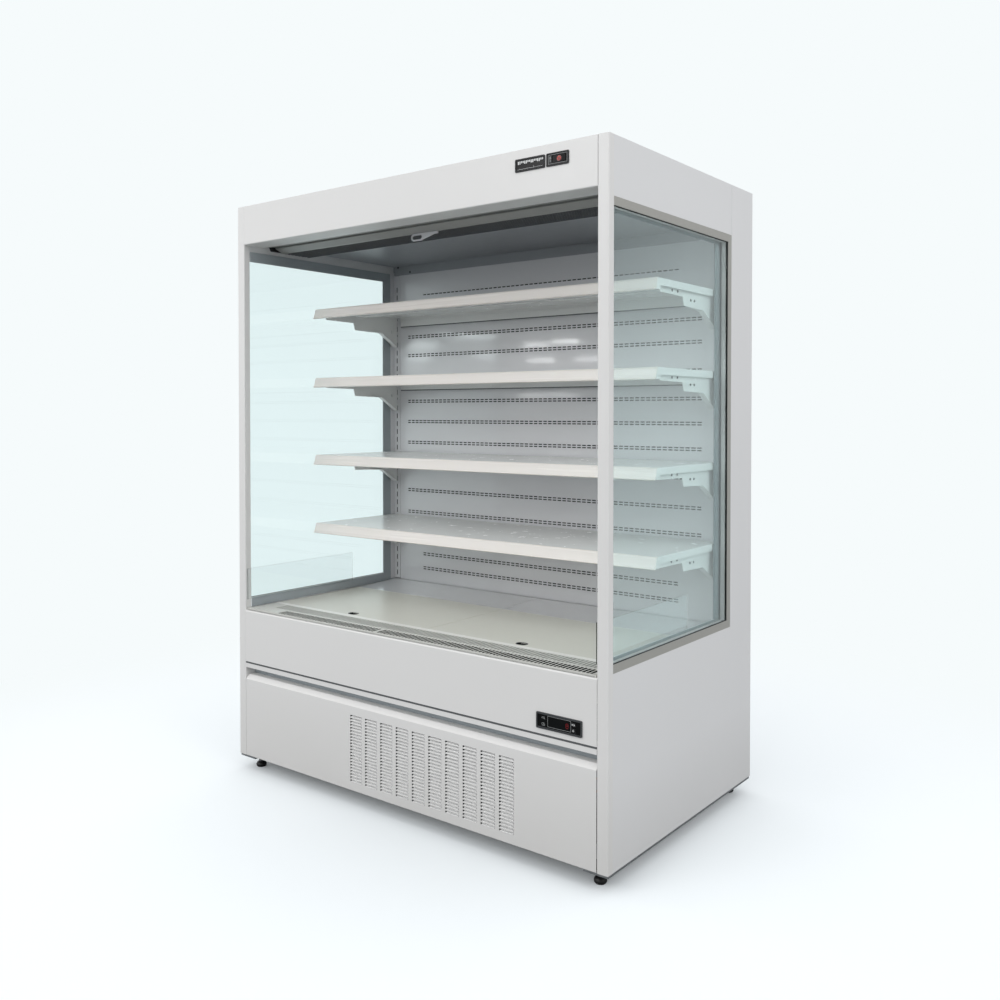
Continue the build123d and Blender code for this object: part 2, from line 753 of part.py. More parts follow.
def refrigerant_pipes():
    discharge = [(-330, 470, 272), (-330, 470, 312), (-240, 470, 312), (-240, 92, 312),
                 (coil_left, 92, 312)]
    suction = [(-230, 470, 190), (-160, 470, 190), (-160, 640, 190), (-160, 640, 411)]
    condensate = [(coil_right, 92, 90), (490, 92, 90), (490, 480, 90), (158, 480, 90)]
    liquid = [(120, 480, 240), (120, 480, 300), (120, 600, 300), (120, 600, 411)]
    return [tube(discharge, 4), tube(suction, 6), tube(condensate, 4), tube(liquid, 4)]


def receiver():
    return [Pos(120, y_at(480), 0) * turned([(22, 66), (38, 76), (38, 230), (22, 240)])]


def electrical_box():
    box = block(520, 636, 560, 760, panel_foot + 2, 220)
    box -= block(522, 634, 562, 758, panel_foot + 4, 221)
    lid = block(518, 638, 558, 762, 220, 224)
    return [box, lid]


def rear_grille():
    slots = [Pos(300 * (column - 1.5), 130 + 24 * row) * Rectangle(230, 8)
             for column in range(4) for row in range(7)]
    face = Pos(0, 206) * Rectangle(2 * inner_half - 4, 312) - slots
    return [facing_front(face, 896, 897.5)]


def cable_gland():
    hexagon = Pos(640, 100) * RegularPolygon(13, 6)
    gland = facing_front(hexagon, 897.5, 903)
    gland += rod_y(9.5, 903, 909, 640, 100)
    return [gland - rod_y(5, 905, 910, 640, 100)]


nodes = {
    "base_frame": base_frame(),
    "end_panel_right": end_panel(),
    "end_panel_left": mirrored(end_panel()),
    "corner_posts": both_ends(corner_post()),
    "window_frames": both_ends(window_frame()),
    "window_panes": both_ends(window_panes()),
    "window_seals": both_ends(window_seals()),
    "side_guards": both_ends(side_guard()),
    "insulated_shell": insulated_shell(),
    "tub": tub(),
    "duct_panel": duct_panel(),
    "shelf_uprights": both_ends(shelf_upright()),
    "shelf_brackets": shelf_brackets(),
    "rear_deck_plates": rear_deck_plates(),
    "deck_pan_left": deck_pan(-1),
    "deck_pan_right": deck_pan(1),
    "return_grille": return_grille(),
    "canopy_front": canopy_front(),
    "blind_housing": blind_housing(),
    "ceiling_panel": ceiling_panel(),
    "air_outlet": air_outlet(),
    "blind_brackets": both_ends(blind_bracket()),
    "blind_roller": blind_roller(),
    "blind_curtain": blind_curtain(),
    "blind_bar": blind_bar(),
    "blind_handle": blind_handle(),
    "apron_panel": apron_panel(),
    "louvred_panel": louvred_panel(),
    "controller_bezel": controller_bezel(),
    "controller_key_upper": controller_key(key_heights[0]),
    "controller_key_lower": controller_key(key_heights[1]),
    "thermometer_module": thermometer_module(),
    "switch_housing": switch_housing(),
    "rocker_switch": rocker_switch(),
    "deck_frame": deck_frame(),
    "evaporator_fan_left": evaporator_fan(-1),
    "evaporator_fan_right": evaporator_fan(1),
    "evaporator_coil": evaporator_coil(),
    "unit_tray": unit_tray(),
    "condenser_coil": condenser_coil(),
    "condenser_shroud": condenser_shroud(),
    "condenser_fan": condenser_fan(),
    "compressor": compressor(),
    "refrigerant_pipes": refrigerant_pipes(),
    "receiver": receiver(),
    "electrical_box": electrical_box(),
    "rear_grille": rear_grille(),
    "cable_gland": cable_gland(),
}

for number in range(len(shelf_steps)):
    nodes[f"shelf_tray_{number + 1}"] = shelf_tray(shelf_height(number))
    nodes[f"price_rail_{number + 1}"] = price_rail(shelf_height(number))

foot_names = {(-1, 0): "foot_front_left", (1, 0): "foot_front_right",
              (-1, 1): "foot_rear_left", (1, 1): "foot_rear_right"}
for (side, row), name in foot_names.items():
    nodes[name] = levelling_foot(side, foot_depths[row])

for name, solids in nodes.items():
    export_step(Compound(children=list(solids)), f"parts/{name}.step")

print(len(nodes), "nodes")
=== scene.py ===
import math
import bpy
from mathutils import Matrix, Vector


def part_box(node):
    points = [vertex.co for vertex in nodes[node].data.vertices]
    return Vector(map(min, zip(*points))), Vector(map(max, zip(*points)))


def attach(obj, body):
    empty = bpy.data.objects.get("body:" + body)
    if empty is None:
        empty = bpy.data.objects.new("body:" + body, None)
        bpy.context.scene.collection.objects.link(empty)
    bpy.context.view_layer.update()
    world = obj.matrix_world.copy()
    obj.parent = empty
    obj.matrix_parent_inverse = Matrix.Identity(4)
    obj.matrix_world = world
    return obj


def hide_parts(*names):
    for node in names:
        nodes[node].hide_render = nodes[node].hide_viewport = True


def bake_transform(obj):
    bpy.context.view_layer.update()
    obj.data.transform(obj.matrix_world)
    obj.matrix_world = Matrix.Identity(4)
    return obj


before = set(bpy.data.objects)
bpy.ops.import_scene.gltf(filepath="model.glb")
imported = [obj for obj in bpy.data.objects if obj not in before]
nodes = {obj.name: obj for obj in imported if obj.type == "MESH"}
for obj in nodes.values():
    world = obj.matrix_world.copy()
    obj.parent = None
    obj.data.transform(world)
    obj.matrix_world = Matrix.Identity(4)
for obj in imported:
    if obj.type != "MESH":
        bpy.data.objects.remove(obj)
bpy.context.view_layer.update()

frontPlane = -0.453      # y of the front of the end panels; depths run back from here
upright = (math.pi / 2, 0, 0)
finishes = {}


# small tools

def linear(hexColour):
    # a hex colour as the linear values that shaders take
    parts = [int(hexColour[i:i + 2], 16) / 255 for i in (1, 3, 5)]
    return [p / 12.92 if p <= 0.04045 else ((p + 0.055) / 1.055) ** 2.4 for p in parts] + [1.0]


def addNode(tree, kind, settings=None, links=None):
    node = tree.nodes.new("ShaderNode" + kind)
    for key, value in (settings or {}).items():
        if isinstance(key, int) or key in node.inputs:
            node.inputs[key].default_value = value
        else:
            setattr(node, key, value)
    for key, source in (links or {}).items():
        # a node stands for its first output
        tree.links.new(getattr(source, "outputs", [source])[0], node.inputs[key])
    return node


def emptyMaterial(name):
    # a new tree, and in it the place on the piece in metres
    material = bpy.data.materials.new(name)
    material.use_nodes = True
    tree = material.node_tree
    tree.nodes.clear()
    return material, tree, addNode(tree, "TexCoord").outputs["Object"]


def closeMaterial(material, shader):
    addNode(material.node_tree, "OutputMaterial", None, {"Surface": shader})
    finishes[material.name] = material


def addObject(name, data):
    piece = bpy.data.objects.new(name, data)
    bpy.context.scene.collection.objects.link(piece)
    return piece


def pick(piece):
    bpy.ops.object.select_all(action="DESELECT")
    piece.select_set(True)
    bpy.context.view_layer.objects.active = piece


def named(piece, name):
    piece.name = name
    piece.data.name = name
    return piece


def settle(name):
    # the newest object goes to the world origin with its place in its mesh
    bpy.ops.object.transform_apply(location=True, rotation=True, scale=True)
    return named(bpy.context.object, name)


def modify(piece, kind, **settings):
    pick(piece)
    modifier = piece.modifiers.new(kind.lower(), kind)
    for key, value in settings.items():
        setattr(modifier, key, value)
    bpy.ops.object.modifier_apply(modifier=modifier.name)


def smooth(piece, degrees=32):
    # rolled edges shade round while the large faces beside them stay flat
    pick(piece)
    bpy.ops.object.shade_smooth_by_angle(angle=math.radians(degrees))
    modify(piece, "WEIGHTED_NORMAL", keep_sharp=True, weight=100)


def wear(piece, *coats):
    # the finishes in the order of their material numbers
    piece.data.materials.clear()
    for coat in coats:
        piece.data.materials.append(finishes[coat])


def finish(piece, coat, standsFor=None, body="cabinet"):
    if coat:
        wear(piece, coat)
    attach(piece, body)
    if standsFor:
        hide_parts(standsFor)


def boxPiece(name, x, depth, z, edge=0.0004):
    # a softened box from ranges in metres; depth runs back from the front plane
    centre = ((x[0] + x[1]) / 2, frontPlane + (depth[0] + depth[1]) / 2, (z[0] + z[1]) / 2)
    size = (x[1] - x[0], depth[1] - depth[0], z[1] - z[0])
    bpy.ops.mesh.primitive_cube_add(size=1, location=centre, scale=size)
    piece = settle(name)
    if edge:
        modify(piece, "BEVEL", width=edge, segments=2, limit_method="ANGLE")
    return piece


def joined(pieces, name):
    pick(pieces[0])
    for piece in pieces:
        piece.select_set(True)
    bpy.ops.object.join()
    return named(bpy.context.object, name)


def copyOf(piece, offset=(0, 0, 0)):
    twin = addObject(piece.name, piece.data.copy())
    twin.data.transform(Matrix.Translation(offset))
    return twin


def openMesh(piece, chosen="SELECT"):
    pick(piece)
    bpy.ops.object.mode_set(mode="EDIT")
    bpy.ops.mesh.select_all(action=chosen)


def closeMesh():
    bpy.ops.object.mode_set(mode="OBJECT")


pieceNames = {"corner_posts": "frontPosts", "deck_frame": "deckBearers", "tub": "foamedTub"}


def softened(node, edge, segments=2, angle=20, smoothAngle=32):
    # a copy of the solid with its loose triangles merged, its flat faces joined and its edges rolled;
    # unless it has a name of its own, blind_bar becomes blindBar
    first, *others = node.split("_")
    name = pieceNames.get(node) or first + "".join(word.title() for word in others)
    piece = addObject(name, nodes[node].data.copy())
    openMesh(piece)
    bpy.ops.mesh.remove_doubles(threshold=0.00001)
    bpy.ops.mesh.dissolve_limited(angle_limit=math.radians(0.5))
    closeMesh()
    modify(piece, "BEVEL", width=edge, segments=segments, limit_method="ANGLE",
        angle_limit=math.radians(angle), harden_normals=False)
    smooth(piece, smoothAngle)
    return piece


def cutLines(piece, axis, places):
    # straight cuts across the whole sheet, square to one axis
    normal = [float(number == axis) for number in range(3)]
    openMesh(piece)
    for place in places:
        bpy.ops.mesh.select_all(action="SELECT")
        bpy.ops.mesh.bisect(plane_co=[place * part for part in normal], plane_no=normal)
    closeMesh()


def bothEnds(middles, width):
    return [middle + side * width / 2 for middle in middles for side in (-1, 1)]


def near(value, places, reach):
    return any(abs(place - value) < reach for place in places)


def deleteFaces(piece, test):
    openMesh(piece, "DESELECT")
    bpy.ops.mesh.select_mode(type="FACE")
    closeMesh()
    for face in piece.data.polygons:
        face.select = test(face)
    bpy.ops.object.mode_set(mode="EDIT")
    bpy.ops.mesh.delete(type="FACE")
    bpy.ops.mesh.select_mode(type="VERT")
    closeMesh()


def foldedSheet(name, path, half, radius, bends=3, side=1):
    # an edge from -half to half is extruded along the (depth, height) path and folded with a radius;
    # its faces look to the left of the path, or to the right where side is -1
    bpy.ops.mesh.primitive_plane_add(size=1, location=(0, frontPlane + path[0][0], path[0][1]))
    piece = bpy.context.object
    openMesh(piece, "DESELECT")
    closeMesh()
    for vertex in piece.data.vertices:
        vertex.select = vertex.co.y > 0
    bpy.ops.object.mode_set(mode="EDIT")
    bpy.ops.mesh.delete(type="VERT")
    bpy.ops.mesh.select_all(action="SELECT")
    bpy.ops.transform.translate(value=(0, 0.5, 0))
    bpy.ops.transform.resize(value=(2 * half, 1, 1))
    for before, after in zip(path, path[1:]):
        step = (0, after[0] - before[0], after[1] - before[1])
        bpy.ops.mesh.extrude_region_move(TRANSFORM_OT_translate={"value": step})
    closeMesh()
    settle(name)
    outward = Vector((0, path[1][1] - path[0][1], path[0][0] - path[1][0])) * side
    flipped = piece.data.polygons[0].normal.dot(outward) < 0
    openMesh(piece)
    if flipped:
        bpy.ops.mesh.flip_normals()
    if radius:
        bpy.ops.mesh.select_mode(type="EDGE")
        bpy.ops.mesh.select_non_manifold(extend=False)
        bpy.ops.mesh.select_all(action="INVERT")
        bpy.ops.mesh.bevel(offset=radius, segments=bends, affect="EDGES")
        bpy.ops.mesh.select_mode(type="VERT")
    closeMesh()
    return piece


def thicken(piece, thickness):
    modify(piece, "SOLIDIFY", thickness=thickness, offset=-1, use_even_offset=True)
    smooth(piece)


def trim(name, x, depth, z, edge, coat, slotName, standsFor=None, body="cabinet"):
    finish(boxPiece(name, x, depth, z, edge), coat, standsFor, body)


def dress(node, edge, coat, slotName, body="cabinet", **look):
    finish(softened(node, edge, **look), coat, node, body)


def mirrored(side, x):
    return sorted(side * place for place in x)


# materials

def surface(name, colour, roughness, grain, mottle=(2.5, 0.05), rough=0.04, metallic=0.0, wave=None,
        streak=None, dust=None, **direct):
    # tone and roughness that drift over the surface, under fine relief; grain and wave are
    # (size, depth) in metres, mottle is (scale, amount), streak stretches all of them along one axis
    material, tree, place = emptyMaterial(name)
    spot = place
    if streak:
        spot = addNode(tree, "Mapping", {"Scale": streak}, {"Vector": place})
    scale, amount = mottle
    drift = addNode(tree, "TexNoise", {"Scale": scale, "Detail": 4.0, "Roughness": 0.6}, {"Vector": spot})
    low, high = [[min(1, c * (1 + change)) for c in linear(colour)[:3]] + [1] for change in (-amount, amount)]
    tone = addNode(tree, "Mix", {"data_type": "RGBA", 6: low, 7: high}, {0: drift}).outputs[2]
    if dust:
        # a little dirt that gathers low down
        top, dirt = dust
        height = addNode(tree, "SeparateXYZ", None, {0: place}).outputs["Z"]
        share = addNode(tree, "MapRange", {"From Min": top, "From Max": 0.0, "To Min": 0.0, "To Max": 0.35},
            {"Value": height})
        patchy = addNode(tree, "Math", {"operation": "MULTIPLY"}, {0: share, 1: drift})
        tone = addNode(tree, "Mix", {"data_type": "RGBA", 7: linear(dirt)}, {0: patchy, 6: tone}).outputs[2]
    cloud = addNode(tree, "TexNoise", {"Scale": 30.0, "Detail": 3.0}, {"Vector": spot})
    gloss = addNode(tree, "MapRange", {"From Min": 0.3, "From Max": 0.7,
        "To Min": max(0.02, roughness - rough), "To Max": roughness + rough},
        {"Value": cloud})
    links = {"Base Color": tone, "Roughness": gloss}
    # slow ripples left by rolling and folding the sheet, then the fine grain
    for relief, detail in ((wave, 1.0), (grain, 2.0)):
        if relief:
            size, depth = relief
            bumps = addNode(tree, "TexNoise", {"Scale": 1 / size, "Detail": detail}, {"Vector": spot})
            below = {"Normal": links["Normal"]} if "Normal" in links else {}
            links["Normal"] = addNode(tree, "Bump", {"Strength": 1.0, "Distance": depth},
                {"Height": bumps, **below})
    shader = addNode(tree, "BsdfPrincipled", {"Metallic": metallic, **direct}, links)
    closeMaterial(material, shader)


def clearSheet(name, tint, roughness=0.001, ior=1.5):
    # a clear pane: it mirrors and tints, and lamps reach what stands behind it
    material, tree, place = emptyMaterial(name)
    smear = addNode(tree, "TexNoise", {"Scale": 9.0, "Detail": 5.0}, {"Vector": place})
    haze = addNode(tree, "MapRange", {"From Min": 0.45, "From Max": 0.8, "To Min": 0.0,
        "To Max": roughness}, {"Value": smear})
    glass = addNode(tree, "BsdfPrincipled", {"Base Color": linear(tint), "Transmission Weight": 1.0,
        "IOR": ior}, {"Roughness": haze})
    film = addNode(tree, "BsdfTransparent", {"Color": linear("#f5f7f7")})
    path = addNode(tree, "LightPath")
    both = addNode(tree, "MixShader", None, {0: path.outputs["Is Shadow Ray"], 1: glass, 2: film})
    closeMaterial(material, both)


def zincSheet(name, colour):
    # galvanised steel shows a spangle of flat crystals, each with its own tone and shine
    material, tree, place = emptyMaterial(name)
    crystal = addNode(tree, "TexVoronoi", {"Scale": 90.0, "Randomness": 1.0}, {"Vector": place})
    value = addNode(tree, "SeparateColor", None, {0: crystal.outputs["Color"]})
    base = linear(colour)
    tone = addNode(tree, "Mix", {"data_type": "RGBA", 6: [c * 0.78 for c in base[:3]] + [1], 7: base},
        {0: value.outputs[0]})
    gloss = addNode(tree, "MapRange", {"To Min": 0.32, "To Max": 0.5}, {"Value": value.outputs[1]})
    fine = addNode(tree, "TexNoise", {"Scale": 700.0, "Detail": 2.0}, {"Vector": place})
    relief = addNode(tree, "Bump", {"Strength": 0.4, "Distance": 0.0002}, {"Height": fine})
    shader = addNode(tree, "BsdfPrincipled", {"Metallic": 0.9}, {"Base Color": tone.outputs[2],
        "Roughness": gloss, "Normal": relief})
    closeMaterial(material, shader)


def finStack(name, colour, pitch):
    # a coil block reads as thin fins that stand side by side, with dark stripes of painted shade for the air
    # between them
    material, tree, place = emptyMaterial(name)
    line = addNode(tree, "TexWave", {"wave_type": "BANDS", "bands_direction": "X", "Scale": 0.314 / pitch,
        "Distortion": 0.4, "Detail": 1.0}, {"Vector": place})
    # the dark colour is the painted shade between the fins
    tone = addNode(tree, "Mix", {"data_type": "RGBA", 6: linear("#2c2e30"), 7: linear(colour)},
        {0: line.outputs["Fac"]})
    relief = addNode(tree, "Bump", {"Strength": 1.0, "Distance": 0.001}, {"Height": line.outputs["Fac"]})
    rough = addNode(tree, "MapRange", {"To Min": 0.6, "To Max": 0.35}, {"Value": line.outputs["Fac"]})
    shader = addNode(tree, "BsdfPrincipled", {"Metallic": 0.8}, {"Base Color": tone.outputs[2],
        "Roughness": rough, "Normal": relief})
    closeMaterial(material, shader)


def litMark(name, colour, strength):
    # a small lamp behind plastic, brightest in its middle grain
    material, tree, place = emptyMaterial(name)
    grain = addNode(tree, "TexNoise", {"Scale": 260.0, "Detail": 2.0}, {"Vector": place})
    tone = addNode(tree, "Mix", {"data_type": "RGBA", 6: [c * 0.7 for c in linear(colour)[:3]] + [1],
        7: linear(colour)}, {0: grain})
    shader = addNode(tree, "BsdfPrincipled", {"Roughness": 0.25, "Emission Strength": strength},
        {"Base Color": tone.outputs[2], "Emission Color": tone.outputs[2]})
    closeMaterial(material, shader)


# baked powder on steel sheet: fine orange peel, a soft sheen, a little dirt low down
surface("whitePowderCoat", "#e2e1df", 0.36, (0.0016, 0.00002), (1.6, 0.02), dust=(0.35, "#9a968d"))
# the same coat on the foamed end panels, a shade cooler
surface("coolPowderCoat", "#e1e1e1", 0.40, (0.0016, 0.00002), (1.4, 0.02), dust=(0.30, "#97938a"))
# stoved enamel on thin liner sheet: its ripples break up the mirrored lamps
surface("stovedLinerEnamel", "#e0e0e2", 0.34, (0.0012, 0.000004), (1.2, 0.025),
    wave=(0.14, 0.0006), **{"Coat Weight": 0.8, "Coat Roughness": 0.055})
# the same enamel overhead, painted a darker grey as painted shade where the lamps don't reach
surface("ceilingShadedEnamel", "#a2a5a9", 0.34, (0.003, 0.000004), (1.6, 0.03), rough=0.02)
# powder coat on the deck pans, warmer and worn smooth
surface("creamPowderCoat", "#e0dfd5", 0.33, (0.0014, 0.000015), (3.0, 0.02), rough=0.02, wave=(0.3, 0.0004))
# the same coat on the grille, greyer from the passing air
surface("greyedPowderCoat", "#d8d8d2", 0.36, (0.0014, 0.000015), (3.0, 0.03), rough=0.02)
# its front roll is painted grey as painted shade, its rear edge painted pale as a painted highlight, and the
# stiffener plate under it is painted grey as painted shade
surface("frontRollShadePaint", "#b7b7b2", 0.40, (0.0014, 0.000015), (3.0, 0.03))
surface("rearEdgeHighlightPaint", "#f7f6f1", 0.34, (0.0014, 0.000015), (3.0, 0.02))
# the pressed blades are painted brighter than the panel as a painted highlight
surface("brightBladePaint", "#fafaf9", 0.36, (0.0014, 0.000015), (3.0, 0.02))
surface("stiffenerShadePaint", "#b3b4af", 0.5, (0.0014, 0.00002), (3.0, 0.04))
# powder coat on shelves and brackets: mirrors the wall at a low angle
surface("shelfPowderCoat", "#eaeae8", 0.26, (0.0030, 0.000004), (1.5, 0.02), rough=0.015)
# near-black painted shade inside the air channel, where little light comes back out
surface("airChannelShadePaint", "#191a1b", 0.6, (0.0016, 0.00003), (5.0, 0.1))
# a cold grey of painted shade in the recess behind the apron
surface("recessShadePaint", "#a4acb0", 0.5, (0.0016, 0.00003), (5.0, 0.05))
# near-black foam, matt and pitted, set behind openings as painted shade
surface("shadeBlackFoam", "#0d0e0e", 0.8, (0.0011, 0.0003), (40.0, 0.2))
# drawn aluminium with a dull anodic skin and faint lines along the bar
surface("anodisedAluminium", "#b3b2ac", 0.40, (0.0009, 0.00001), (260.0, 0.05),
    metallic=0.3, streak=(1, 1, 0.02))
# the room side of the same bars, tinted a cold blue-grey as a painted reflection of the pale sky
surface("skyReflectionAluminium", "#a3aaae", 0.38, (0.0009, 0.00001), (260.0, 0.05),
    metallic=0.1, streak=(1, 1, 0.02))
# the sill bar, with lines brushed along it, painted near white as painted light
surface("paintedLightSillAluminium", "#f3f6f7", 0.34, (0.0009, 0.00001), (260.0, 0.04),
    metallic=0.1, streak=(1, 0.02, 1))
# brighter drawn aluminium inside the glazing
surface("spacerAluminium", "#c9cac8", 0.45, (0.003, 0.000003), (120.0, 0.03),
    metallic=0.35, streak=(1, 1, 0.05), rough=0.02)
# extruded EPDM, matt and nearly black
surface("gasketRubber", "#2a2c2c", 0.55, (0.0008, 0.00003))
# the bead under the apron has bloomed grey; the same grey also makes the painted shadow line under each shelf
surface("bloomedRubberAndShadowLine", "#555859", 0.6, (0.0008, 0.00003))
# rubber pad under each foot, softly shining on its shoulder
surface("footRubber", "#101111", 0.42, (0.0012, 0.00006))
# moulded ABS with a fine spark-eroded grain
surface("blackMouldedPlastic", "#1b1c1d", 0.45, (0.0005, 0.00002), **{"Specular IOR Level": 0.3})
# the display bezel: a greyer moulding with a sheen on its slopes
surface("greyBlackPlastic", "#3a3c3e", 0.34, (0.0005, 0.00002))
# smoked acrylic over the displays, deep and glossy
surface("smokedAcrylic", "#050606", 0.22, (0.003, 0.000004), (30.0, 0.1), rough=0.03,
    **{"Specular IOR Level": 0.2})
# injection moulded honeycomb, matt
surface("honeycombPlastic", "#727374", 0.5, (0.001, 0.00002))
# grey extruded plastic of the blind's cassette
surface("extrudedGreyPlastic", "#8e8e8b", 0.36, (0.0011, 0.00001), (200.0, 0.04), streak=(0.02, 1, 1))
# moulded nylon handle, pale and slightly waxy
surface("mouldedNylon", "#cfcfd2", 0.34, (0.0006, 0.00001), **{"Subsurface Weight": 0.05})
# extruded PVC price strip: warm ivory, soft gloss, faint lines along it
surface("extrudedIvoryPlastic", "#ebe4dd", 0.27, (0.0011, 0.000006), (60.0, 0.02),
    streak=(0.03, 1, 1), **{"Subsurface Weight": 0.05})
# pad-printed marks on the controls
surface("printedWhiteMark", "#dfe0df", 0.5, (0.0006, 0.000005))
surface("printedGreyMark", "#8f9190", 0.5, (0.0006, 0.000005))
# a lamp glows behind each red plastic
litMark("redLitPlastic", "#6e1812", 0.12)
litMark("paleRedMark", "#c8493c", 0.25)
litMark("darkRedLamp", "#7d1218", 0.3)
# hot-dip zinc with its flat crystals
zincSheet("galvanisedSteel", "#a5a8aa")
# plated screws and studs
surface("zincScrewSteel", "#8f9092", 0.3, (0.0006, 0.00003), metallic=0.9)
# blackened screws, small dark dots against the liner
surface("blackenedScrew", "#191a1b", 0.5, (0.0006, 0.00003))
# drawn copper tube, tarnished in patches
surface("drawnCopper", "#b9714a", 0.3, (0.001, 0.00002), (12.0, 0.12), metallic=0.95)
# thick black enamel on the compressor and receiver
surface("compressorEnamel", "#121314", 0.3, (0.0018, 0.00005))
finStack("evaporatorFins", "#b4b7b9", 0.005)
finStack("condenserFins", "#8f9497", 0.003)
# coated woven film, rolled up and seldom seen
surface("coatedBlindFilm", "#c9ccd0", 0.35, (0.0016, 0.00006), (40.0, 0.05), streak=(1, 1, 0.05))
clearSheet("floatGlass", "#f8fefe", ior=1.33)
clearSheet("clearAcrylic", "#fafcfc", roughness=0.004, ior=1.49)
print("materials ready:", len(finishes))


# carcass

# solids that ride with the cabinet by coat and slot, each with the radius of its edges
carcass = (
    ("coolPowderCoat", "white_paint", {"end_panel_left": 0.0012, "end_panel_right": 0.0012}),
    ("whitePowderCoat", "white_paint", {"corner_posts": 0.0010, "canopy_front": 0.00045,
        "apron_panel": 0.00045}),
    ("galvanisedSteel", "galvanised", {"base_frame": 0.0006}),
    # the ceiling panel takes the liner enamel in the darker grey of painted shade
    ("ceilingShadedEnamel", "grey_paint", {"ceiling_panel": 0.0004}),
    ("stovedLinerEnamel", "grey_paint", {"shelf_uprights": 0.0003, "rear_deck_plates": 0.0004}),
    ("shelfPowderCoat", "cream_paint", {"shelf_brackets": 0.0004}),
    ("extrudedGreyPlastic", "grey_plastic", {"blind_housing": 0.0005}),
    ("galvanisedSteel", "galvanised", {"deck_frame": 0.0004, "unit_tray": 0.0006, "rear_grille": 0.0004,
        "electrical_box": 0.0006, "condenser_shroud": 0.0006}),
)
seam = {"outer": 0.770, "depth": (0.748, 0.7491), "cut": 0.0006, "z": (1.840, 2.000)}


def cutSeam(s, piece, side):
    # a fine joint runs up from the rear edge of the window
    tool = boxPiece("seamTool", mirrored(side, (s["outer"] - s["cut"], s["outer"] + s["cut"])), s["depth"],
        s["z"], 0)
    modify(piece, "BOOLEAN", object=tool, operation="DIFFERENCE", solver="EXACT")
    bpy.data.objects.remove(tool)
    smooth(piece)


for coat, slotName, group in carcass:
    for node, edge in group.items():
        piece = softened(node, edge)
        if node.startswith("end_panel"):
            cutSeam(seam, piece, 1 if node.endswith("right") else -1)
        finish(piece, coat, node)

foamedSlabs = {
    "foamedBack": ((-0.735, 0.735), (0.846, 0.906), (0.365, 1.940)),
    "foamedRoof": ((-0.735, 0.735), (0.060, 0.906), (1.940, 1.998)),
}
for name, place in foamedSlabs.items():
    trim(name, *place, 0.0010, "coolPowderCoat", "white_paint", "insulated_shell")

# painted shade inside the tub: near black in the air channel, a cold grey in the recess behind the apron
tubParts = {"inside": (0.0215, 0.845), "floor": 0.404, "recess": (0.030, 0.060), "recessHeight": (0.30, 0.40)}


def makeTub(s):
    tub = softened("tub", 0.0008)
    wear(tub, "whitePowderCoat", "airChannelShadePaint", "recessShadePaint")
    for face in tub.data.polygons:
        depth, height = face.center.y - frontPlane, face.center.z
        inside = s["inside"][0] < depth < s["inside"][1] and height > s["floor"]
        recess = (s["recess"][0] < depth < s["recess"][1]
            and s["recessHeight"][0] < height < s["recessHeight"][1])
        face.material_index = 1 if inside else 2 if recess else 0
    finish(tub, None, "tub")


makeTub(tubParts)
# a grey rubber bead closes the joint under the apron
trim("apronBead", (-0.7345, 0.7345), (-0.0004, 0.0040), (0.3805, 0.3858), 0.0006, "bloomedRubberAndShadowLine",
    "black_rubber")

frameBars = {"inner": 0.7665, "sill": 0.612, "head": 1.812}
frames = softened("window_frames", 0.0006)
wear(frames, "anodisedAluminium", "skyReflectionAluminium", "paintedLightSillAluminium", "ceilingShadedEnamel")
# room-side bars take a painted sky reflection, the sill painted light, the head the ceiling's painted shade
for face in frames.data.polygons:
    inner = 2 if face.center.z < frameBars["sill"] else 3 if face.center.z > frameBars["head"] else 1
    face.material_index = inner if abs(face.center.x) < frameBars["inner"] else 0
finish(frames, None, "window_frames")
print("carcass dressed")

# the folded edge of the liner laps over the rear bar of each window
for side in (-1, 1):
    trim("linerEdge", mirrored(side, (0.7305, 0.7319)), (0.7345, 0.7575), (0.583, 1.850), 0.0003,
        "stovedLinerEnamel", "grey_paint")


# back wall with its rows of air slots

backWall = {
    "half": 0.700, "low": 0.583, "high": 1.862, "depth": 0.760, "thickness": 0.0015,
    "pitch": 0.02129, "slotLength": 0.0164, "slotHeight": 0.0040, "rowGap": 0.0083,
    "wideRows": (0.866, 0.955, 1.054, 1.150, 1.235, 1.318, 1.411, 1.505, 1.581),
    "narrowRows": (0.640, 0.697), "singleRow": 1.749, "wideCount": 62, "narrowCount": 54, "slack": 0.001,
}


def makeBackWall(s):
    y = frontPlane + s["depth"]
    bpy.ops.mesh.primitive_plane_add(size=1, location=(0, y, (s["low"] + s["high"]) / 2), rotation=upright)
    piece = bpy.context.object
    piece.scale = (2 * s["half"], s["high"] - s["low"], 1)
    settle("backWallPanel")
    columns = [(i - (s["wideCount"] - 1) / 2) * s["pitch"] for i in range(s["wideCount"])]
    cutLines(piece, 0, bothEnds(columns, s["slotLength"]))
    wide = bothEnds(s["wideRows"], s["rowGap"])
    narrow = bothEnds(s["narrowRows"], s["rowGap"]) + [s["singleRow"]]
    cutLines(piece, 2, bothEnds(wide + narrow, s["slotHeight"]))
    reach = (s["narrowCount"] - 1) / 2 * s["pitch"] + s["slack"]

    def isSlot(face):
        rows = wide + narrow if abs(face.center.x) < reach else wide
        return (near(face.center.z, rows, s["slotHeight"] * 0.4)
            and near(face.center.x, columns, s["slotLength"] * 0.4))

    deleteFaces(piece, isSlot)
    modify(piece, "SOLIDIFY", thickness=s["thickness"], offset=-1)
    finish(piece, "stovedLinerEnamel", "duct_panel")


makeBackWall(backWall)
# a near-black sheet of painted shade lines the air duct, so its slots read dark
trim("ductShadeLining", (-0.722, 0.722), (0.832, 0.836), (0.600, 1.855), 0.0005, "shadeBlackFoam", "black_rubber")
# narrow strips of the same painted shade sit behind the uprights
for side in (-1, 1):
    trim("uprightLining", mirrored(side, (0.7035, 0.7265)), (0.7606, 0.7612), (0.600, 1.850), 0,
        "shadeBlackFoam", "black_rubber")
print("back wall made")


# louvred service panel

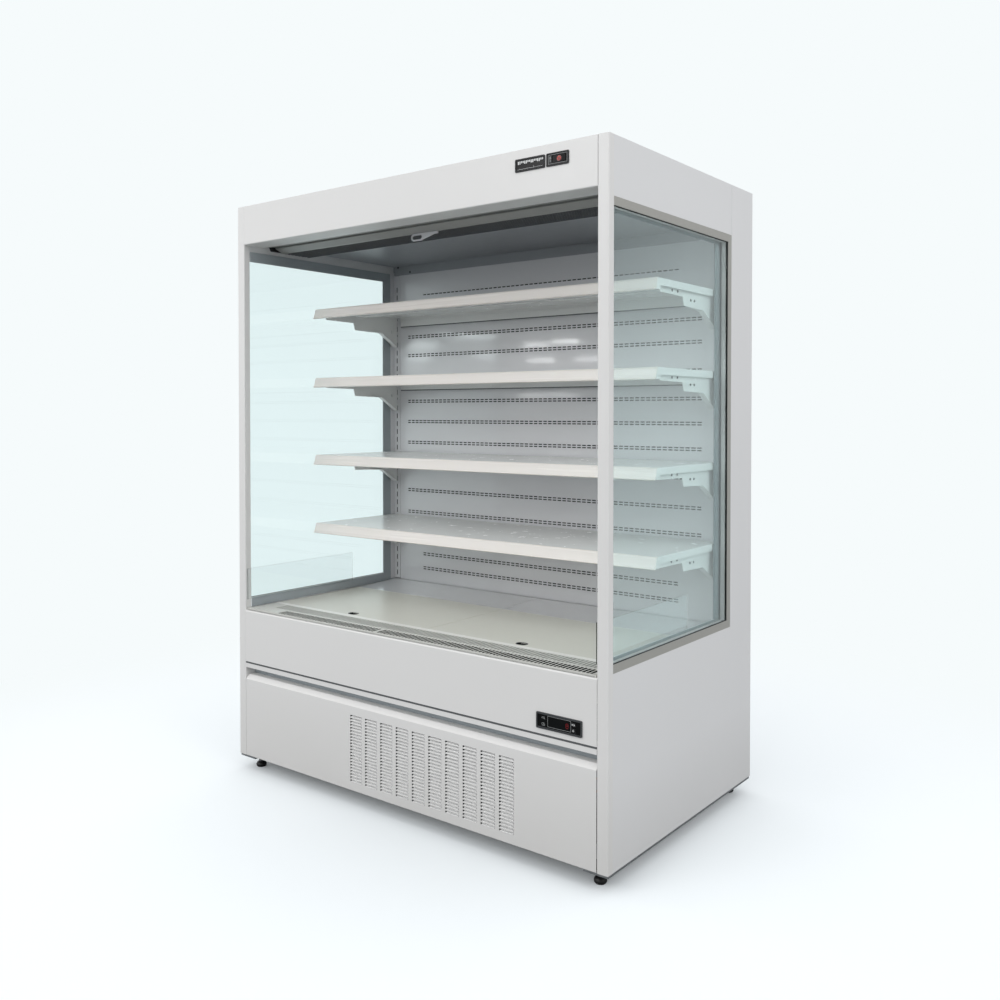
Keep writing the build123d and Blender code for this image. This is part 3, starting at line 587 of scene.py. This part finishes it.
louvredPanel = {
    "half": 0.7335, "thickness": 0.0012, "low": 0.050, "top": 0.324, "bevel": 0.014,
    "back": 0.040, "hem": 0.010, "foot": 0.014, "fold": 0.0016,
    "columns": 10, "rows": 22, "left": -0.202, "width": 0.053, "pitchX": 0.0677,
    "firstRow": 0.292, "pitchZ": 0.010, "height": 0.0060,
    "blade": 0.0009, "bladeDrop": 0.0032, "bladeRise": 0.0021, "bladeReach": 0.0066, "bladeKnee": 0.0054,
    "kneeRise": 0.0007, "bladeGap": 0.0030, "flatness": 0.0001,
    "filter": ((-0.215, 0.480), (0.0150, 0.0180), (0.062, 0.310)),
}


def makeLouvredPanel(s):
    shoulder = s["top"] + s["bevel"]
    path = [(s["foot"], s["low"]), (0.0, s["low"]), (0.0, s["top"]), (s["bevel"], shoulder),
        (s["back"], shoulder), (s["back"], shoulder - s["hem"])]
    piece = foldedSheet("louvredPanel", path, s["half"], s["fold"], side=-1)
    columns = [s["left"] + s["width"] / 2 + i * s["pitchX"] for i in range(s["columns"])]
    rows = [s["firstRow"] - i * s["pitchZ"] for i in range(s["rows"])]
    cutLines(piece, 0, bothEnds(columns, s["width"]))
    cutLines(piece, 2, bothEnds(rows, s["height"]))

    def isSlot(face):
        x, y, z = face.center
        return (near(y, [frontPlane], s["flatness"]) and near(z, rows, s["height"] * 0.4)
            and near(x, columns, s["width"] * 0.4))

    deleteFaces(piece, isSlot)
    thicken(piece, s["thickness"])
    # behind each slot a pressed blade runs back, then turns up; its ends stay open and read dark
    low = -s["bladeDrop"]
    path = [(s["blade"], low), (s["bladeKnee"], low + s["kneeRise"]), (s["bladeReach"], low + s["bladeRise"])]
    blade = foldedSheet("blade", path, s["width"] / 2 - s["bladeGap"], 0)
    thicken(blade, s["blade"])
    wear(piece, "whitePowderCoat")
    # the blades wear the brighter paint of a painted highlight
    wear(blade, "brightBladePaint")
    blades = [copyOf(blade, (column, 0, row)) for column in columns for row in rows]
    bpy.data.objects.remove(blade)
    panel = joined([piece] + blades, "louvredPanel")
    smooth(panel)
    finish(panel, None, "louvred_panel", body="louvred_panel")
    # a near-black felt of painted shade lies behind the louvres
    trim("louvreShadeFelt", *s["filter"], 0.0010, "shadeBlackFoam", "black_rubber", body="louvred_panel")


makeLouvredPanel(louvredPanel)
print("louvred panel made")


# deck and return air grille

returnGrille = {
    "half": 0.7258, "front": 0.0035, "rear": 0.149, "top": 0.5765, "thickness": 0.0010, "fold": 0.0040,
    "frontFoot": 0.5705, "rearFoot": 0.563, "frontTrim": 0.0070, "rearTrim": 0.1240,
    "pitch": 0.0133, "openWidth": 0.0098, "plateWidth": 0.0078, "rightEnd": 0.7180,
    "openRow": (0.0080, 0.0530), "openCount": 97, "bridge": 61, "plateRow": (0.0645, 0.1215),
    "plateCount": 103, "inset": 0.003, "plate": ((0.0640, 0.1240), (0.5732, 0.5742)),
    "seal": ((0.0560, 0.0630), (0.5350, 0.5752)), "flatness": 0.0001,
}


def makeReturnGrille(s):
    path = [(s["rear"], s["rearFoot"]), (s["rear"], s["top"]), (s["front"], s["top"]),
        (s["front"], s["frontFoot"])]
    piece = foldedSheet("returnGrille", path, s["half"], s["fold"], 5)
    columns = [s["rightEnd"] - (i + 0.5) * s["pitch"] for i in range(s["plateCount"])]
    for width in (s["openWidth"], s["plateWidth"]):
        cutLines(piece, 0, bothEnds(columns, width))
    depths = s["openRow"] + s["plateRow"] + (s["frontTrim"], s["rearTrim"])
    cutLines(piece, 1, [frontPlane + depth for depth in depths])
    openEnd = s["rightEnd"] - s["openCount"] * s["pitch"]

    def isSlot(face):
        x, depth = face.center.x, face.center.y - frontPlane
        inOpen = (s["openRow"][0] < depth < s["openRow"][1] and x > openEnd
            and abs(x - columns[s["bridge"]]) > s["pitch"] / 2)
        inPlate = s["plateRow"][0] < depth < s["plateRow"][1]
        width = s["openWidth"] if inOpen else s["plateWidth"]
        return (near(face.center.z, [s["top"]], s["flatness"]) and (inOpen or inPlate)
            and near(x, columns, width / 2))

    deleteFaces(piece, isSlot)
    thicken(piece, s["thickness"])
    inside = (-s["half"] + s["inset"], s["half"] - s["inset"])
    # the rear row only looks down on a stiffening plate, painted grey as painted shade under the sheet
    trim("grillePlate", inside, *s["plate"], 0.0003, "stiffenerShadePaint", "cream_paint", body="return_grille")
    # a near-black foam strip of painted shade stands behind the open rows, so only darkness shows through
    # them
    trim("returnShadeStrip", inside, *s["seal"], 0.0010, "shadeBlackFoam", "black_rubber", body="return_grille")
    wear(piece, "greyedPowderCoat", "frontRollShadePaint", "rearEdgeHighlightPaint")
    # the front roll takes painted shade, the rear edge a painted highlight
    for face in piece.data.polygons:
        depth = face.center.y - frontPlane
        face.material_index = 1 if depth < s["frontTrim"] else 2 if depth > s["rearTrim"] else 0
    finish(piece, None, "return_grille", body="return_grille")


makeReturnGrille(returnGrille)
# a short strip closes the gap between each end of the grille and the side
for side, end in ((-1, "Left"), (1, "Right")):
    trim("grilleEndStrip" + end, mirrored(side, (0.7262, 0.7292)), (0.0040, 0.0600), (0.5610, 0.5756),
        0.0003, "greyedPowderCoat", "cream_paint")
for side in ("left", "right"):
    node = "deck_pan_" + side
    dress(node, 0.0005, "creamPowderCoat", "cream_paint", node)

fingerBush = {"x": 0.363, "depth": 0.170, "length": 0.040, "width": 0.029, "lip": 0.0032, "top": 0.5759,
    "collar": 0.010, "thickness": 0.0008}


def makeFingerBush(s, side):
    # a black plastic bush that lines the finger hole and laps over its edge
    bpy.ops.mesh.primitive_circle_add(vertices=40, radius=s["width"] / 2, fill_type="NGON",
        location=(0, 0, s["top"]))
    piece = settle("fingerHoleBush" + side.title())
    stretch = (s["length"] - s["width"]) / 2
    for vertex in piece.data.vertices:
        vertex.co.x += stretch if vertex.co.x > 0 else -stretch
    openMesh(piece)
    bpy.ops.mesh.inset(thickness=s["lip"])
    bpy.ops.mesh.extrude_region_move(TRANSFORM_OT_translate={"value": (0, 0, -s["collar"])})
    closeMesh()
    modify(piece, "SOLIDIFY", thickness=s["thickness"], offset=-1)
    x = s["x"] if side == "right" else -s["x"]
    piece.data.transform(Matrix.Translation((x, frontPlane + s["depth"], 0)))
    smooth(piece, 40)
    finish(piece, "blackMouldedPlastic", body="deck_pan_" + side)


for side in ("left", "right"):
    makeFingerBush(fingerBush, side)
print("deck made")


# shelves and price rails

priceRail = {
    "half": 0.7295, "thickness": 0.0013, "fold": 0.0012,
    "profile": ((0.3350, 0.0003), (0.3290, 0.0003), (0.3250, -0.0045), (0.3224, -0.0150), (0.3192, -0.0260),
        (0.3168, -0.0328), (0.3128, -0.0349), (0.3180, -0.0373)),
}
shelfHem = {"x": (-0.688, 0.688), "depth": (0.7505, 0.7517), "drop": (0.0385, 0.0145),
    "seal": (0.7505, 0.7530), "shadeStripDrop": (0.0420, 0.0386)}


def makeShelf(rail, hem, number):
    body, node = "shelf_%d" % number, "shelf_tray_%d" % number
    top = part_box(node)[1][2]
    # the rear fold of the tray hangs in front of the wall, and a dark strip below it is the painted shadow of
    # the gap to the wall
    trim("shelfHem%d" % number, hem["x"], hem["depth"], [top - drop for drop in hem["drop"]], 0.0003,
        "shelfPowderCoat", "cream_paint", body=body)
    trim("shelfSeal%d" % number, hem["x"], hem["seal"], [top - drop for drop in hem["shadeStripDrop"]], 0.0005,
        "bloomedRubberAndShadowLine", "black_rubber", body=body)
    dress(node, 0.00045, "shelfPowderCoat", "cream_paint", body)
    # a strip with a rolled top, a nearly flat face and a small lip that sticks out below
    path = [(depth, top + rise) for depth, rise in rail["profile"]]
    strip = foldedSheet("priceRail%d" % number, path, rail["half"], rail["fold"])
    thicken(strip, rail["thickness"])
    finish(strip, "extrudedIvoryPlastic", "price_rail_%d" % number, body=body)


for number in range(1, 5):
    makeShelf(priceRail, shelfHem, number)
print("shelves made")


# air outlet honeycomb

honeycomb = {"half": 0.730, "depth": (0.173, 0.291), "low": 1.854, "height": 0.018, "cell": 0.0094,
    "web": 0.0005, "rim": 0.0016, "margin": 0.002, "setDown": 0.001}


def makeHoneycomb(s):
    flat = s["cell"]
    side = flat / math.sqrt(3)
    front, rear = s["depth"]
    first = (-s["half"] + flat / 2 + s["margin"], frontPlane + front + side + s["margin"] / 2, s["low"])
    bpy.ops.mesh.primitive_circle_add(vertices=6, radius=side, fill_type="NGON", location=first,
        rotation=(0, 0, math.pi / 6))
    cell = settle("airOutletHoneycomb")
    openMesh(cell)
    bpy.ops.mesh.inset(thickness=s["web"] / 2)
    bpy.ops.mesh.delete(type="FACE")
    closeMesh()
    grid = joined([cell, copyOf(cell, (flat / 2, side * 1.5, 0))], "airOutletHoneycomb")
    across = int((2 * (s["half"] - s["margin"]) - flat) / flat)
    back = int((rear - front - s["margin"] - side / 2) / (side * 3))
    for count, step in ((across, (flat, 0, 0)), (back, (0, side * 3, 0))):
        modify(grid, "ARRAY", count=count, use_relative_offset=False, use_constant_offset=True,
            constant_offset_displace=step, use_merge_vertices=True, merge_threshold=0.00002)
    modify(grid, "SOLIDIFY", thickness=s["height"] - s["setDown"], offset=1)
    rims = [boxPiece("rim", (-s["half"], s["half"]), depth, (s["low"], s["low"] + s["height"]))
        for depth in ((front, front + s["rim"]), (rear - s["rim"], rear))]
    finish(joined([grid] + rims, "airOutletHoneycomb"), "honeycombPlastic", "air_outlet")


makeHoneycomb(honeycomb)
print("honeycomb made")


# night blind

dress("blind_bar", 0.0006, "extrudedGreyPlastic", "frame_alloy", "blind_bar")
dress("blind_handle", 0.0014, "mouldedNylon", "grey_plastic", "blind_bar", segments=3, smoothAngle=50)
dress("blind_brackets", 0.0008, "blackMouldedPlastic", "black_plastic")
dress("blind_roller", 0.0004, "coatedBlindFilm", "frame_alloy", "blind_roller")

blindFilm = {"half": 0.714, "depth": 0.148, "top": 1.912, "foot": 1.871, "thickness": 0.0004, "rows": 32}


def makeBlindFilm(s):
    # the stretch of film that hangs between the roll and the bar
    drop = s["top"] - s["foot"]
    middle = (0, frontPlane + s["depth"], s["foot"] + drop / 2)
    bpy.ops.mesh.primitive_grid_add(x_subdivisions=8, y_subdivisions=s["rows"], size=1, location=middle,
        rotation=upright)
    bpy.context.object.scale = (2 * s["half"], drop, 1)
    film = settle("blindFilm")
    modify(film, "SOLIDIFY", thickness=s["thickness"], offset=0)
    wear(film, "coatedBlindFilm")
    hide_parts("blind_curtain")
    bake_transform(film)


makeBlindFilm(blindFilm)
print("blind dressed")


# windows

# clear side guards stand on the sill
guards = {"x": (0.7286, 0.7314), "foot": 0.606}
low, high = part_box("side_guards")
depth = (low[1] - frontPlane, high[1] - frontPlane)
for side, end in ((-1, "Left"), (1, "Right")):
    trim("sideGuard" + end, mirrored(side, guards["x"]), depth, (guards["foot"], high[2]), 0.0003,
        "clearAcrylic", "clear_acrylic", "side_guards")

glazing = {
    "depth": (0.0245, 0.7355), "z": (0.5935, 1.8265), "front": 0.0035,
    "gasket": ((0.7662, 0.7678), 0.0130, "gasketRubber"), "butyl": ((0.7598, 0.7618), 0.0122, "gasketRubber"),
    "spacer": ((0.7444, 0.7598), 0.0115, "spacerAluminium"),
}


def barsAround(s, name, side):
    # four bars that frame the pane: front, rear, lower and upper
    x, face, coat = s[name]
    (front, rear), (low, high) = s["depth"], s["z"]
    frontEnd, rearEnd = front + s["front"], rear - face
    places = (((front, frontEnd), (low, high)), ((rearEnd, rear), (low, high)),
        ((frontEnd, rearEnd), (low, low + face)), ((frontEnd, rearEnd), (high - face, high)))
    bars = [boxPiece(name, mirrored(side, x), depth, z, 0.0003) for depth, z in places]
    for bar in bars:
        wear(bar, coat)
    return bars


def makeGlazing(s):
    rubber, alloy = [], []
    for side in (-1, 1):
        rubber += barsAround(s, "gasket", side) + barsAround(s, "butyl", side)
        alloy += barsAround(s, "spacer", side)
    seals = joined(rubber + alloy, "windowSeals")
    smooth(seals)
    finish(seals, None, "window_seals")


makeGlazing(glazing)
print("windows dressed")


# controls

dress("controller_bezel", 0.0006, "greyBlackPlastic", "black_plastic")
for node in ("controller_key_upper", "controller_key_lower"):
    dress(node, 0.0005, "blackMouldedPlastic", "black_rubber", node)
for node in ("thermometer_module", "switch_housing"):
    dress(node, 0.0006, "blackMouldedPlastic", "black_plastic")


def around(middle, half):
    return (middle - half, middle + half)


def ringMark(name, x, depth, z, radius, thickness):
    bpy.ops.mesh.primitive_torus_add(major_radius=radius, minor_radius=thickness / 2, major_segments=28,
        minor_segments=8, location=(x, frontPlane + depth, z), rotation=upright)
    piece = settle(name)
    smooth(piece, 60)
    return piece


def outlineMark(name, x, depth, z, line):
    # four thin lines round a rectangle
    inner = (z[0] + line, z[1] - line)
    sides = ((x, (z[0], inner[0])), (x, (inner[1], z[1])), ((x[0], x[0] + line), inner),
        ((x[1] - line, x[1]), inner))
    return [boxPiece(name, across, (depth, depth + 0.0002), up, 0) for across, up in sides]


display = {
    "window": ((0.5795, 0.6535), (0.4115, 0.4395)), "face": -0.0031, "rim": 0.0012, "line": 0.0009,
    "recess": ((0.5442, 0.6858), (0.4072, 0.4418)), "plateFace": (-0.0021, -0.0017),
    "keyColumn": (0.6560, 0.6700), "keyGaps": ((0.4072, 0.4108), (0.4212, 0.4268), (0.4372, 0.4418)),
    "iconX": (0.5575, 0.5690), "iconZ": (0.4330, 0.4165), "iconFace": (-0.0025, -0.0020),
    "iconRing": (0.0030, 0.0022, 0.0009), "iconStrokes": ((-0.0029, 0.0), (-0.0005, 0.001), (0.0019, 0.002)),
    "strokeLeft": 0.0068, "strokeHeight": 0.0013, "underline": (-0.0052, -0.0042),
    "lamp": (0.6425, 0.4245), "barHalf": (0.0028, 0.0007), "postHalf": (0.0007, 0.0024),
    "barRows": (-0.0062, 0.0, 0.0062),
    "posts": [(x, z) for x in (-0.0036, 0.0036) for z in (-0.0031, 0.0031)],
    "markFace": -0.0034, "arrow": (0.6598, 0.4320), "strokes": (0.6640, 0.6666), "strokeWidth": 0.0013,
    "strokeZ": (0.4296, 0.4344), "ring": (0.6625, 0.4160),
}


def makeIcon(s, height, underlined):
    # a ring with three short strokes beside it
    (left, right), face = s["iconX"], s["iconFace"]
    middle, radius, line = s["iconRing"]
    parts = [ringMark("icon", left + middle, -0.0023, height, radius, line)]
    for rise, short in s["iconStrokes"]:
        low = height + rise
        parts.append(boxPiece("icon", (left + s["strokeLeft"], right - short), face,
            (low, low + s["strokeHeight"]), 0))
    if underlined:
        parts.append(boxPiece("icon", (left, right), face, [height + rise for rise in s["underline"]], 0))
    return parts


def makeController(s):
    x, z = s["window"]
    (left, right), (foot, head) = s["recess"]
    keyLeft, keyRight = s["keyColumn"]
    # the dark plate round the window leaves the two keys free
    plates = [((left, keyLeft), (foot, head)), ((keyRight, right), (foot, head))]
    plates += [(s["keyColumn"], gap) for gap in s["keyGaps"]]
    window = [boxPiece("displayWindow", x, (s["face"], s["face"] + 0.0008), z, 0.0004)]
    window += [boxPiece("displayPlate", across, s["plateFace"], up, 0) for across, up in plates]
    finish(joined(window, "displayWindow"), "smokedAcrylic")
    marks = outlineMark("displayRim", (x[0] - s["rim"], x[1] + s["rim"]), s["face"],
        (z[0] - s["rim"], z[1] + s["rim"]), s["line"])
    for place, height in enumerate(s["iconZ"]):
        marks += makeIcon(s, height, place == 1)
    finish(joined(marks, "controllerMarks"), "printedGreyMark")
    # a dark red figure made of plain bars glows behind the smoked window
    (lampX, lampZ), face = s["lamp"], (s["face"] - 0.0002, s["face"] + 0.0001)
    bars = [((0, rise), s["barHalf"]) for rise in s["barRows"]]
    bars += [(post, s["postHalf"]) for post in s["posts"]]
    lamp = [boxPiece("lamp", around(lampX + across, half[0]), face, around(lampZ + up, half[1]), 0)
        for (across, up), half in bars]
    finish(joined(lamp, "displayLamp"), "darkRedLamp")
    # the upper key carries an arrow and two strokes, the lower one a ring
    keyFace = s["markFace"]
    bpy.ops.mesh.primitive_cylinder_add(vertices=3, radius=0.0030, depth=0.0004,
        location=(s["arrow"][0], frontPlane + keyFace, s["arrow"][1]),
        rotation=(math.pi / 2, math.pi / 2, 0))
    upper = [settle("keyMarkUpper")]
    upper += [boxPiece("keyMarkUpper", (left, left + s["strokeWidth"]), around(keyFace, 0.0002),
        s["strokeZ"], 0.0001) for left in s["strokes"]]
    finish(joined(upper, "keyMarkUpper"), "printedWhiteMark", body="controller_key_upper")
    lower = ringMark("keyMarkLower", s["ring"][0], keyFace, s["ring"][1], 0.0024, 0.0011)
    finish(lower, "printedWhiteMark", body="controller_key_lower")


makeController(display)

thermometer = {
    "window": ((0.4715, 0.5615), (1.9435, 1.9685)), "face": -0.0017, "ticks": 16, "tickTop": 1.9672,
    "longTick": 0.0084, "shortTick": 0.0054, "tickWidth": 0.0036, "margin": 0.004, "line": (1.9447, 1.9453),
    "needle": ((0.5280, 0.5292), (1.9453, 1.9505)),
}


def makeThermometer(s):
    (left, right), z = s["window"]
    trim("thermometerWindow", (left, right), (s["face"], s["face"] + 0.0010), z, 0.0004, "smokedAcrylic",
        "black_plastic")
    face = around(s["face"], 0.0002)
    step = (right - left - 2 * s["margin"]) / (s["ticks"] - 1)
    marks = []
    for number in range(s["ticks"]):
        length = s["longTick"] if number % 4 < 2 else s["shortTick"]
        start = left + s["margin"] + number * step
        marks.append(boxPiece("tick", (start, start + s["tickWidth"]), face,
            (s["tickTop"] - length, s["tickTop"]), 0))
    marks.append(boxPiece("tick", (left + 0.002, right - 0.002), face, s["line"], 0))
    finish(joined(marks, "thermometerScale"), "printedWhiteMark")
    x, z = s["needle"]
    trim("thermometerNeedle", x, face, z, 0, "printedGreyMark", "black_plastic")


makeThermometer(thermometer)

rocker = {
    "lampX": 0.6143, "lampZ": 1.9562, "radius": 0.0078, "ring": 0.0047, "face": -0.0028,
    "outline": ((0.5785, 0.6400), (1.9440, 1.9690)), "markX": 0.5847,
    "marks": (((1.9495, 1.9560), 0.0012), ((1.9575, 1.9600), 0.0032), ((1.9612, 1.9640), 0.0024)),
}


def makeRocker(s):
    x, z, face = s["lampX"], s["lampZ"], s["face"]
    dress("rocker_switch", 0.0006, "smokedAcrylic", "red_plastic", "rocker_switch")
    bpy.ops.mesh.primitive_cylinder_add(vertices=28, radius=s["radius"], depth=0.0010,
        location=(x, frontPlane + face + 0.0002, z), rotation=upright)
    lens = settle("rockerLamp")
    modify(lens, "BEVEL", width=0.0003, segments=2, limit_method="ANGLE")
    smooth(lens)
    finish(lens, "redLitPlastic", body="rocker_switch")
    mark = [ringMark("rockerMark", x, face - 0.0004, z - 0.0004, s["ring"], 0.0016),
        boxPiece("rockerMark", around(x, 0.0008), (face - 0.0008, face), (z + 0.0010, z + 0.0062), 0.0002)]
    finish(joined(mark, "rockerMark"), "paleRedMark", body="rocker_switch")
    lines = outlineMark("switchOutline", s["outline"][0], -0.0022, s["outline"][1], 0.0010)
    lines += [boxPiece("switchOutline", around(s["markX"], half), (-0.0024, -0.0019), rows, 0.0002)
        for rows, half in s["marks"]]
    finish(joined(lines, "switchOutline"), "printedGreyMark")


makeRocker(rocker)
print("controls dressed")


# feet

studFoot = 0.0192      # above this height a foot is its plated stud
for place in ("front_left", "front_right", "rear_left", "rear_right"):
    node = "foot_" + place
    foot = softened(node, 0.0005, angle=34, smoothAngle=40)
    wear(foot, "footRubber", "zincScrewSteel")
    for face in foot.data.polygons:
        face.material_index = int(face.center.z > studFoot)
    finish(foot, None, node, body=node)
print("feet dressed")


# cooling unit

# solids that only take a coat
plain = {
    "blackMouldedPlastic": ("evaporator_fan_left", "evaporator_fan_right", "condenser_fan", "cable_gland"),
    "evaporatorFins": ("evaporator_coil",), "condenserFins": ("condenser_coil",),
    "compressorEnamel": ("compressor", "receiver"), "drawnCopper": ("refrigerant_pipes",),
    "floatGlass": ("window_panes",),
}
for coat, group in plain.items():
    for node in group:
        nodes[node].material_slots[0].material = finishes[coat]
print("cooling unit dressed")


# screws that hold the brackets, the ceiling flange and the grille at the back
screws = {
    "radius": 0.0042, "rise": 0.0016, "cross": 0.0009,
    "shelf": ((0.440, 0.0265), (0.475, 0.0265), (0.561, 0.046), (0.586, 0.046)), "shelfSide": 0.71625,
    "ceiling": ((-0.708, 1.8700), (-0.641, 1.8470), (0.641, 1.8470), (0.708, 1.8700)), "ceilingFace": 0.7573,
    "back": [(x, z) for x in (-0.7, -0.35, 0.0, 0.35, 0.7) for z in (0.066, 0.350)], "backFace": 0.8975,
}


def makeScrewHead(s):
    bpy.ops.mesh.primitive_cylinder_add(vertices=16, radius=s["radius"], depth=s["rise"])
    head = settle("screwHead")
    modify(head, "BEVEL", width=0.0007, segments=2, limit_method="ANGLE")
    for turn in (0, math.pi / 2):
        bpy.ops.mesh.primitive_cube_add(size=1, location=(0, 0, s["rise"] / 2), rotation=(0, 0, turn),
            scale=(s["radius"] * 1.3, s["cross"], s["rise"]))
        cutter = settle("cutter")
        modify(head, "BOOLEAN", object=cutter, operation="DIFFERENCE", solver="EXACT")
        bpy.data.objects.remove(cutter)
    smooth(head, 35)
    return head


def makeScrews(s):
    head = makeScrewHead(s)
    half = s["rise"] / 2

    def placed(x, depth, z, turn, axis):
        twin = copyOf(head)
        place = Matrix.Translation((x, frontPlane + depth, z))
        twin.data.transform(place @ Matrix.Rotation(turn * math.pi / 2, 4, axis))
        return twin

    tops = [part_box("shelf_tray_%d" % number)[1][2] for number in range(1, 5)]
    dark = [placed(side * (s["shelfSide"] + half), depth, top - drop, side, "Y")
        for top in tops for depth, drop in s["shelf"] for side in (-1, 1)]
    dark += [placed(x, s["ceilingFace"] - half, z, 1, "X") for x, z in s["ceiling"]]
    plated = [placed(x, s["backFace"] + half, z, -1, "X") for x, z in s["back"]]
    bpy.data.objects.remove(head)
    finish(joined(dark, "linerScrews"), "blackenedScrew")
    finish(joined(plated, "grilleScrews"), "zincScrewSteel")


makeScrews(screws)
print("screws set")


# room, lights and camera

room = {"pale": "#f6fbfc", "floor": "#f4f9fb", "bounce": "#85898b", "fade": (1.0, 2.6), "lift": 0.10,
    "skyLow": 1.00, "skyHigh": 1.06, "rightGloss": 0.35}


def seenShare(tree):
    # the camera, also through glass, sees the pale background; everything else is lit by the hall
    path = addNode(tree, "LightPath")
    return addNode(tree, "Math", {"operation": "MAXIMUM"}, {0: path.outputs["Is Camera Ray"],
        1: path.outputs["Is Transmission Ray"]})


def makeRoom(s):
    bpy.ops.mesh.primitive_plane_add(size=60, location=(0, 0, 0))
    floor = settle("studioFloor")
    material, tree, place = emptyMaterial("studioFloor")
    span = addNode(tree, "VectorMath", {"operation": "LENGTH"}, {0: place})
    fade = addNode(tree, "MapRange", {"interpolation_type": "SMOOTHSTEP", "From Min": s["fade"][0],
        "From Max": s["fade"][1], "To Min": s["lift"], "To Max": 1.0}, {"Value": span.outputs["Value"]})
    matt = addNode(tree, "BsdfPrincipled", {"Base Color": linear(s["floor"]), "Roughness": 0.8})
    plainLight = addNode(tree, "Emission", {"Color": linear(s["pale"]), "Strength": 1.0})
    seenFloor = addNode(tree, "MixShader", None, {0: fade, 1: matt, 2: plainLight})
    bounce = addNode(tree, "BsdfPrincipled", {"Base Color": linear(s["bounce"]), "Roughness": 0.8})
    both = addNode(tree, "MixShader", None, {0: seenShare(tree), 1: bounce, 2: seenFloor})
    closeMaterial(material, both)
    wear(floor, "studioFloor")

    world = bpy.data.worlds.new("studio")
    bpy.context.scene.world = world
    world.use_nodes = True
    tree = world.node_tree
    tree.nodes.clear()
    # the hall is lit from above: the sky is bright overhead and falls off towards the floor
    place = addNode(tree, "SeparateXYZ", None, {0: addNode(tree, "TexCoord").outputs["Generated"]})
    strength = addNode(tree, "MapRange", {"From Min": -0.2, "From Max": 1.0, "To Min": s["skyLow"],
        "To Max": s["skyHigh"]}, {"Value": place.outputs["Z"]})
    # polished faces that look to the right meet a dimmer part of the hall
    dim = addNode(tree, "MapRange", {"From Min": -0.1, "From Max": 0.5, "To Min": 1.0,
        "To Max": s["rightGloss"]}, {"Value": place.outputs["X"]})
    glossy = addNode(tree, "LightPath").outputs["Is Glossy Ray"]
    factor = addNode(tree, "Mix", {"data_type": "FLOAT", 2: 1.0}, {0: glossy, 3: dim})
    level = addNode(tree, "Math", {"operation": "MULTIPLY"}, {0: strength, 1: factor})
    lamp = addNode(tree, "Background", {"Color": linear("#fcfdff")}, {"Strength": level})
    shown = addNode(tree, "Background", {"Color": linear(s["pale"]), "Strength": 1.0})
    both = addNode(tree, "MixShader", None, {0: seenShare(tree), 1: lamp, 2: shown})
    addNode(tree, "OutputWorld", None, {"Surface": both})


# each lamp's place, aim, size in metres and watts
lamps = {
    "keyFrontHigh": ((-1.2, -4.6, 3.6), (0, 0, 0.9), (2.6, 2.0), 52),
    "frontMiddle": ((-0.6, -5.2, 1.5), (0, 0, 1.2), (1.8, 0.9), 3),
    "sideRight": ((4.8, -1.0, 3.2), (0, 0, 0.9), (2.6, 2.2), 40),
}
# short bright tubes that only show as broken reflections in the glossy liner
for index, (*place, watts) in enumerate((
        (-3.93, -3.38, 1.88, 1.3), (-3.59, -3.50, 1.985, 0.9), (-3.40, -3.57, 1.95, 0.7),
        (-3.98, -3.34, 1.765, 0.6), (-3.36, -3.60, 1.78, 0.5), (-2.92, -3.76, 1.87, 0.35),
        (-2.66, -3.84, 1.89, 0.45), (-2.88, -3.77, 1.735, 0.3), (-2.46, -3.90, 1.735, 0.3),
        (-2.95, -3.74, 1.42, 0.2), (-2.68, -3.83, 1.425, 0.2))):
    lamps["tube%d" % index] = (place, (-0.2, 0.3, 1.55), (0.24, 0.022), watts)


def makeLamps(table):
    for name, (place, aim, size, watts) in table.items():
        light = bpy.data.lights.new(name, "AREA")
        light.shape = "RECTANGLE"
        light.size, light.size_y = size
        light.energy = watts
        lamp = addObject(name, light)
        lamp.location = place
        lamp.rotation_euler = (Vector(aim) - Vector(place)).to_track_quat("-Z", "Y").to_euler()


view = {"place": (2.1053, -2.6393, 1.2708), "turn": 37.77, "down": 1.01, "lens": 35.16, "shiftY": -0.07}


def makeCamera(s):
    data = bpy.data.cameras.new("photoView")
    data.sensor_width = 36.0
    data.lens = s["lens"]
    data.shift_y = s["shiftY"]
    camera = addObject("photoView", data)
    camera.location = s["place"]
    camera.rotation_euler = (math.radians(90 - s["down"]), 0, math.radians(s["turn"]))
    bpy.context.scene.camera = camera


makeRoom(room)
makeLamps(lamps)
makeCamera(view)
bpy.context.scene.view_settings.view_transform = "Standard"
print("room, lamps and camera set")

bpy.context.view_layer.update()
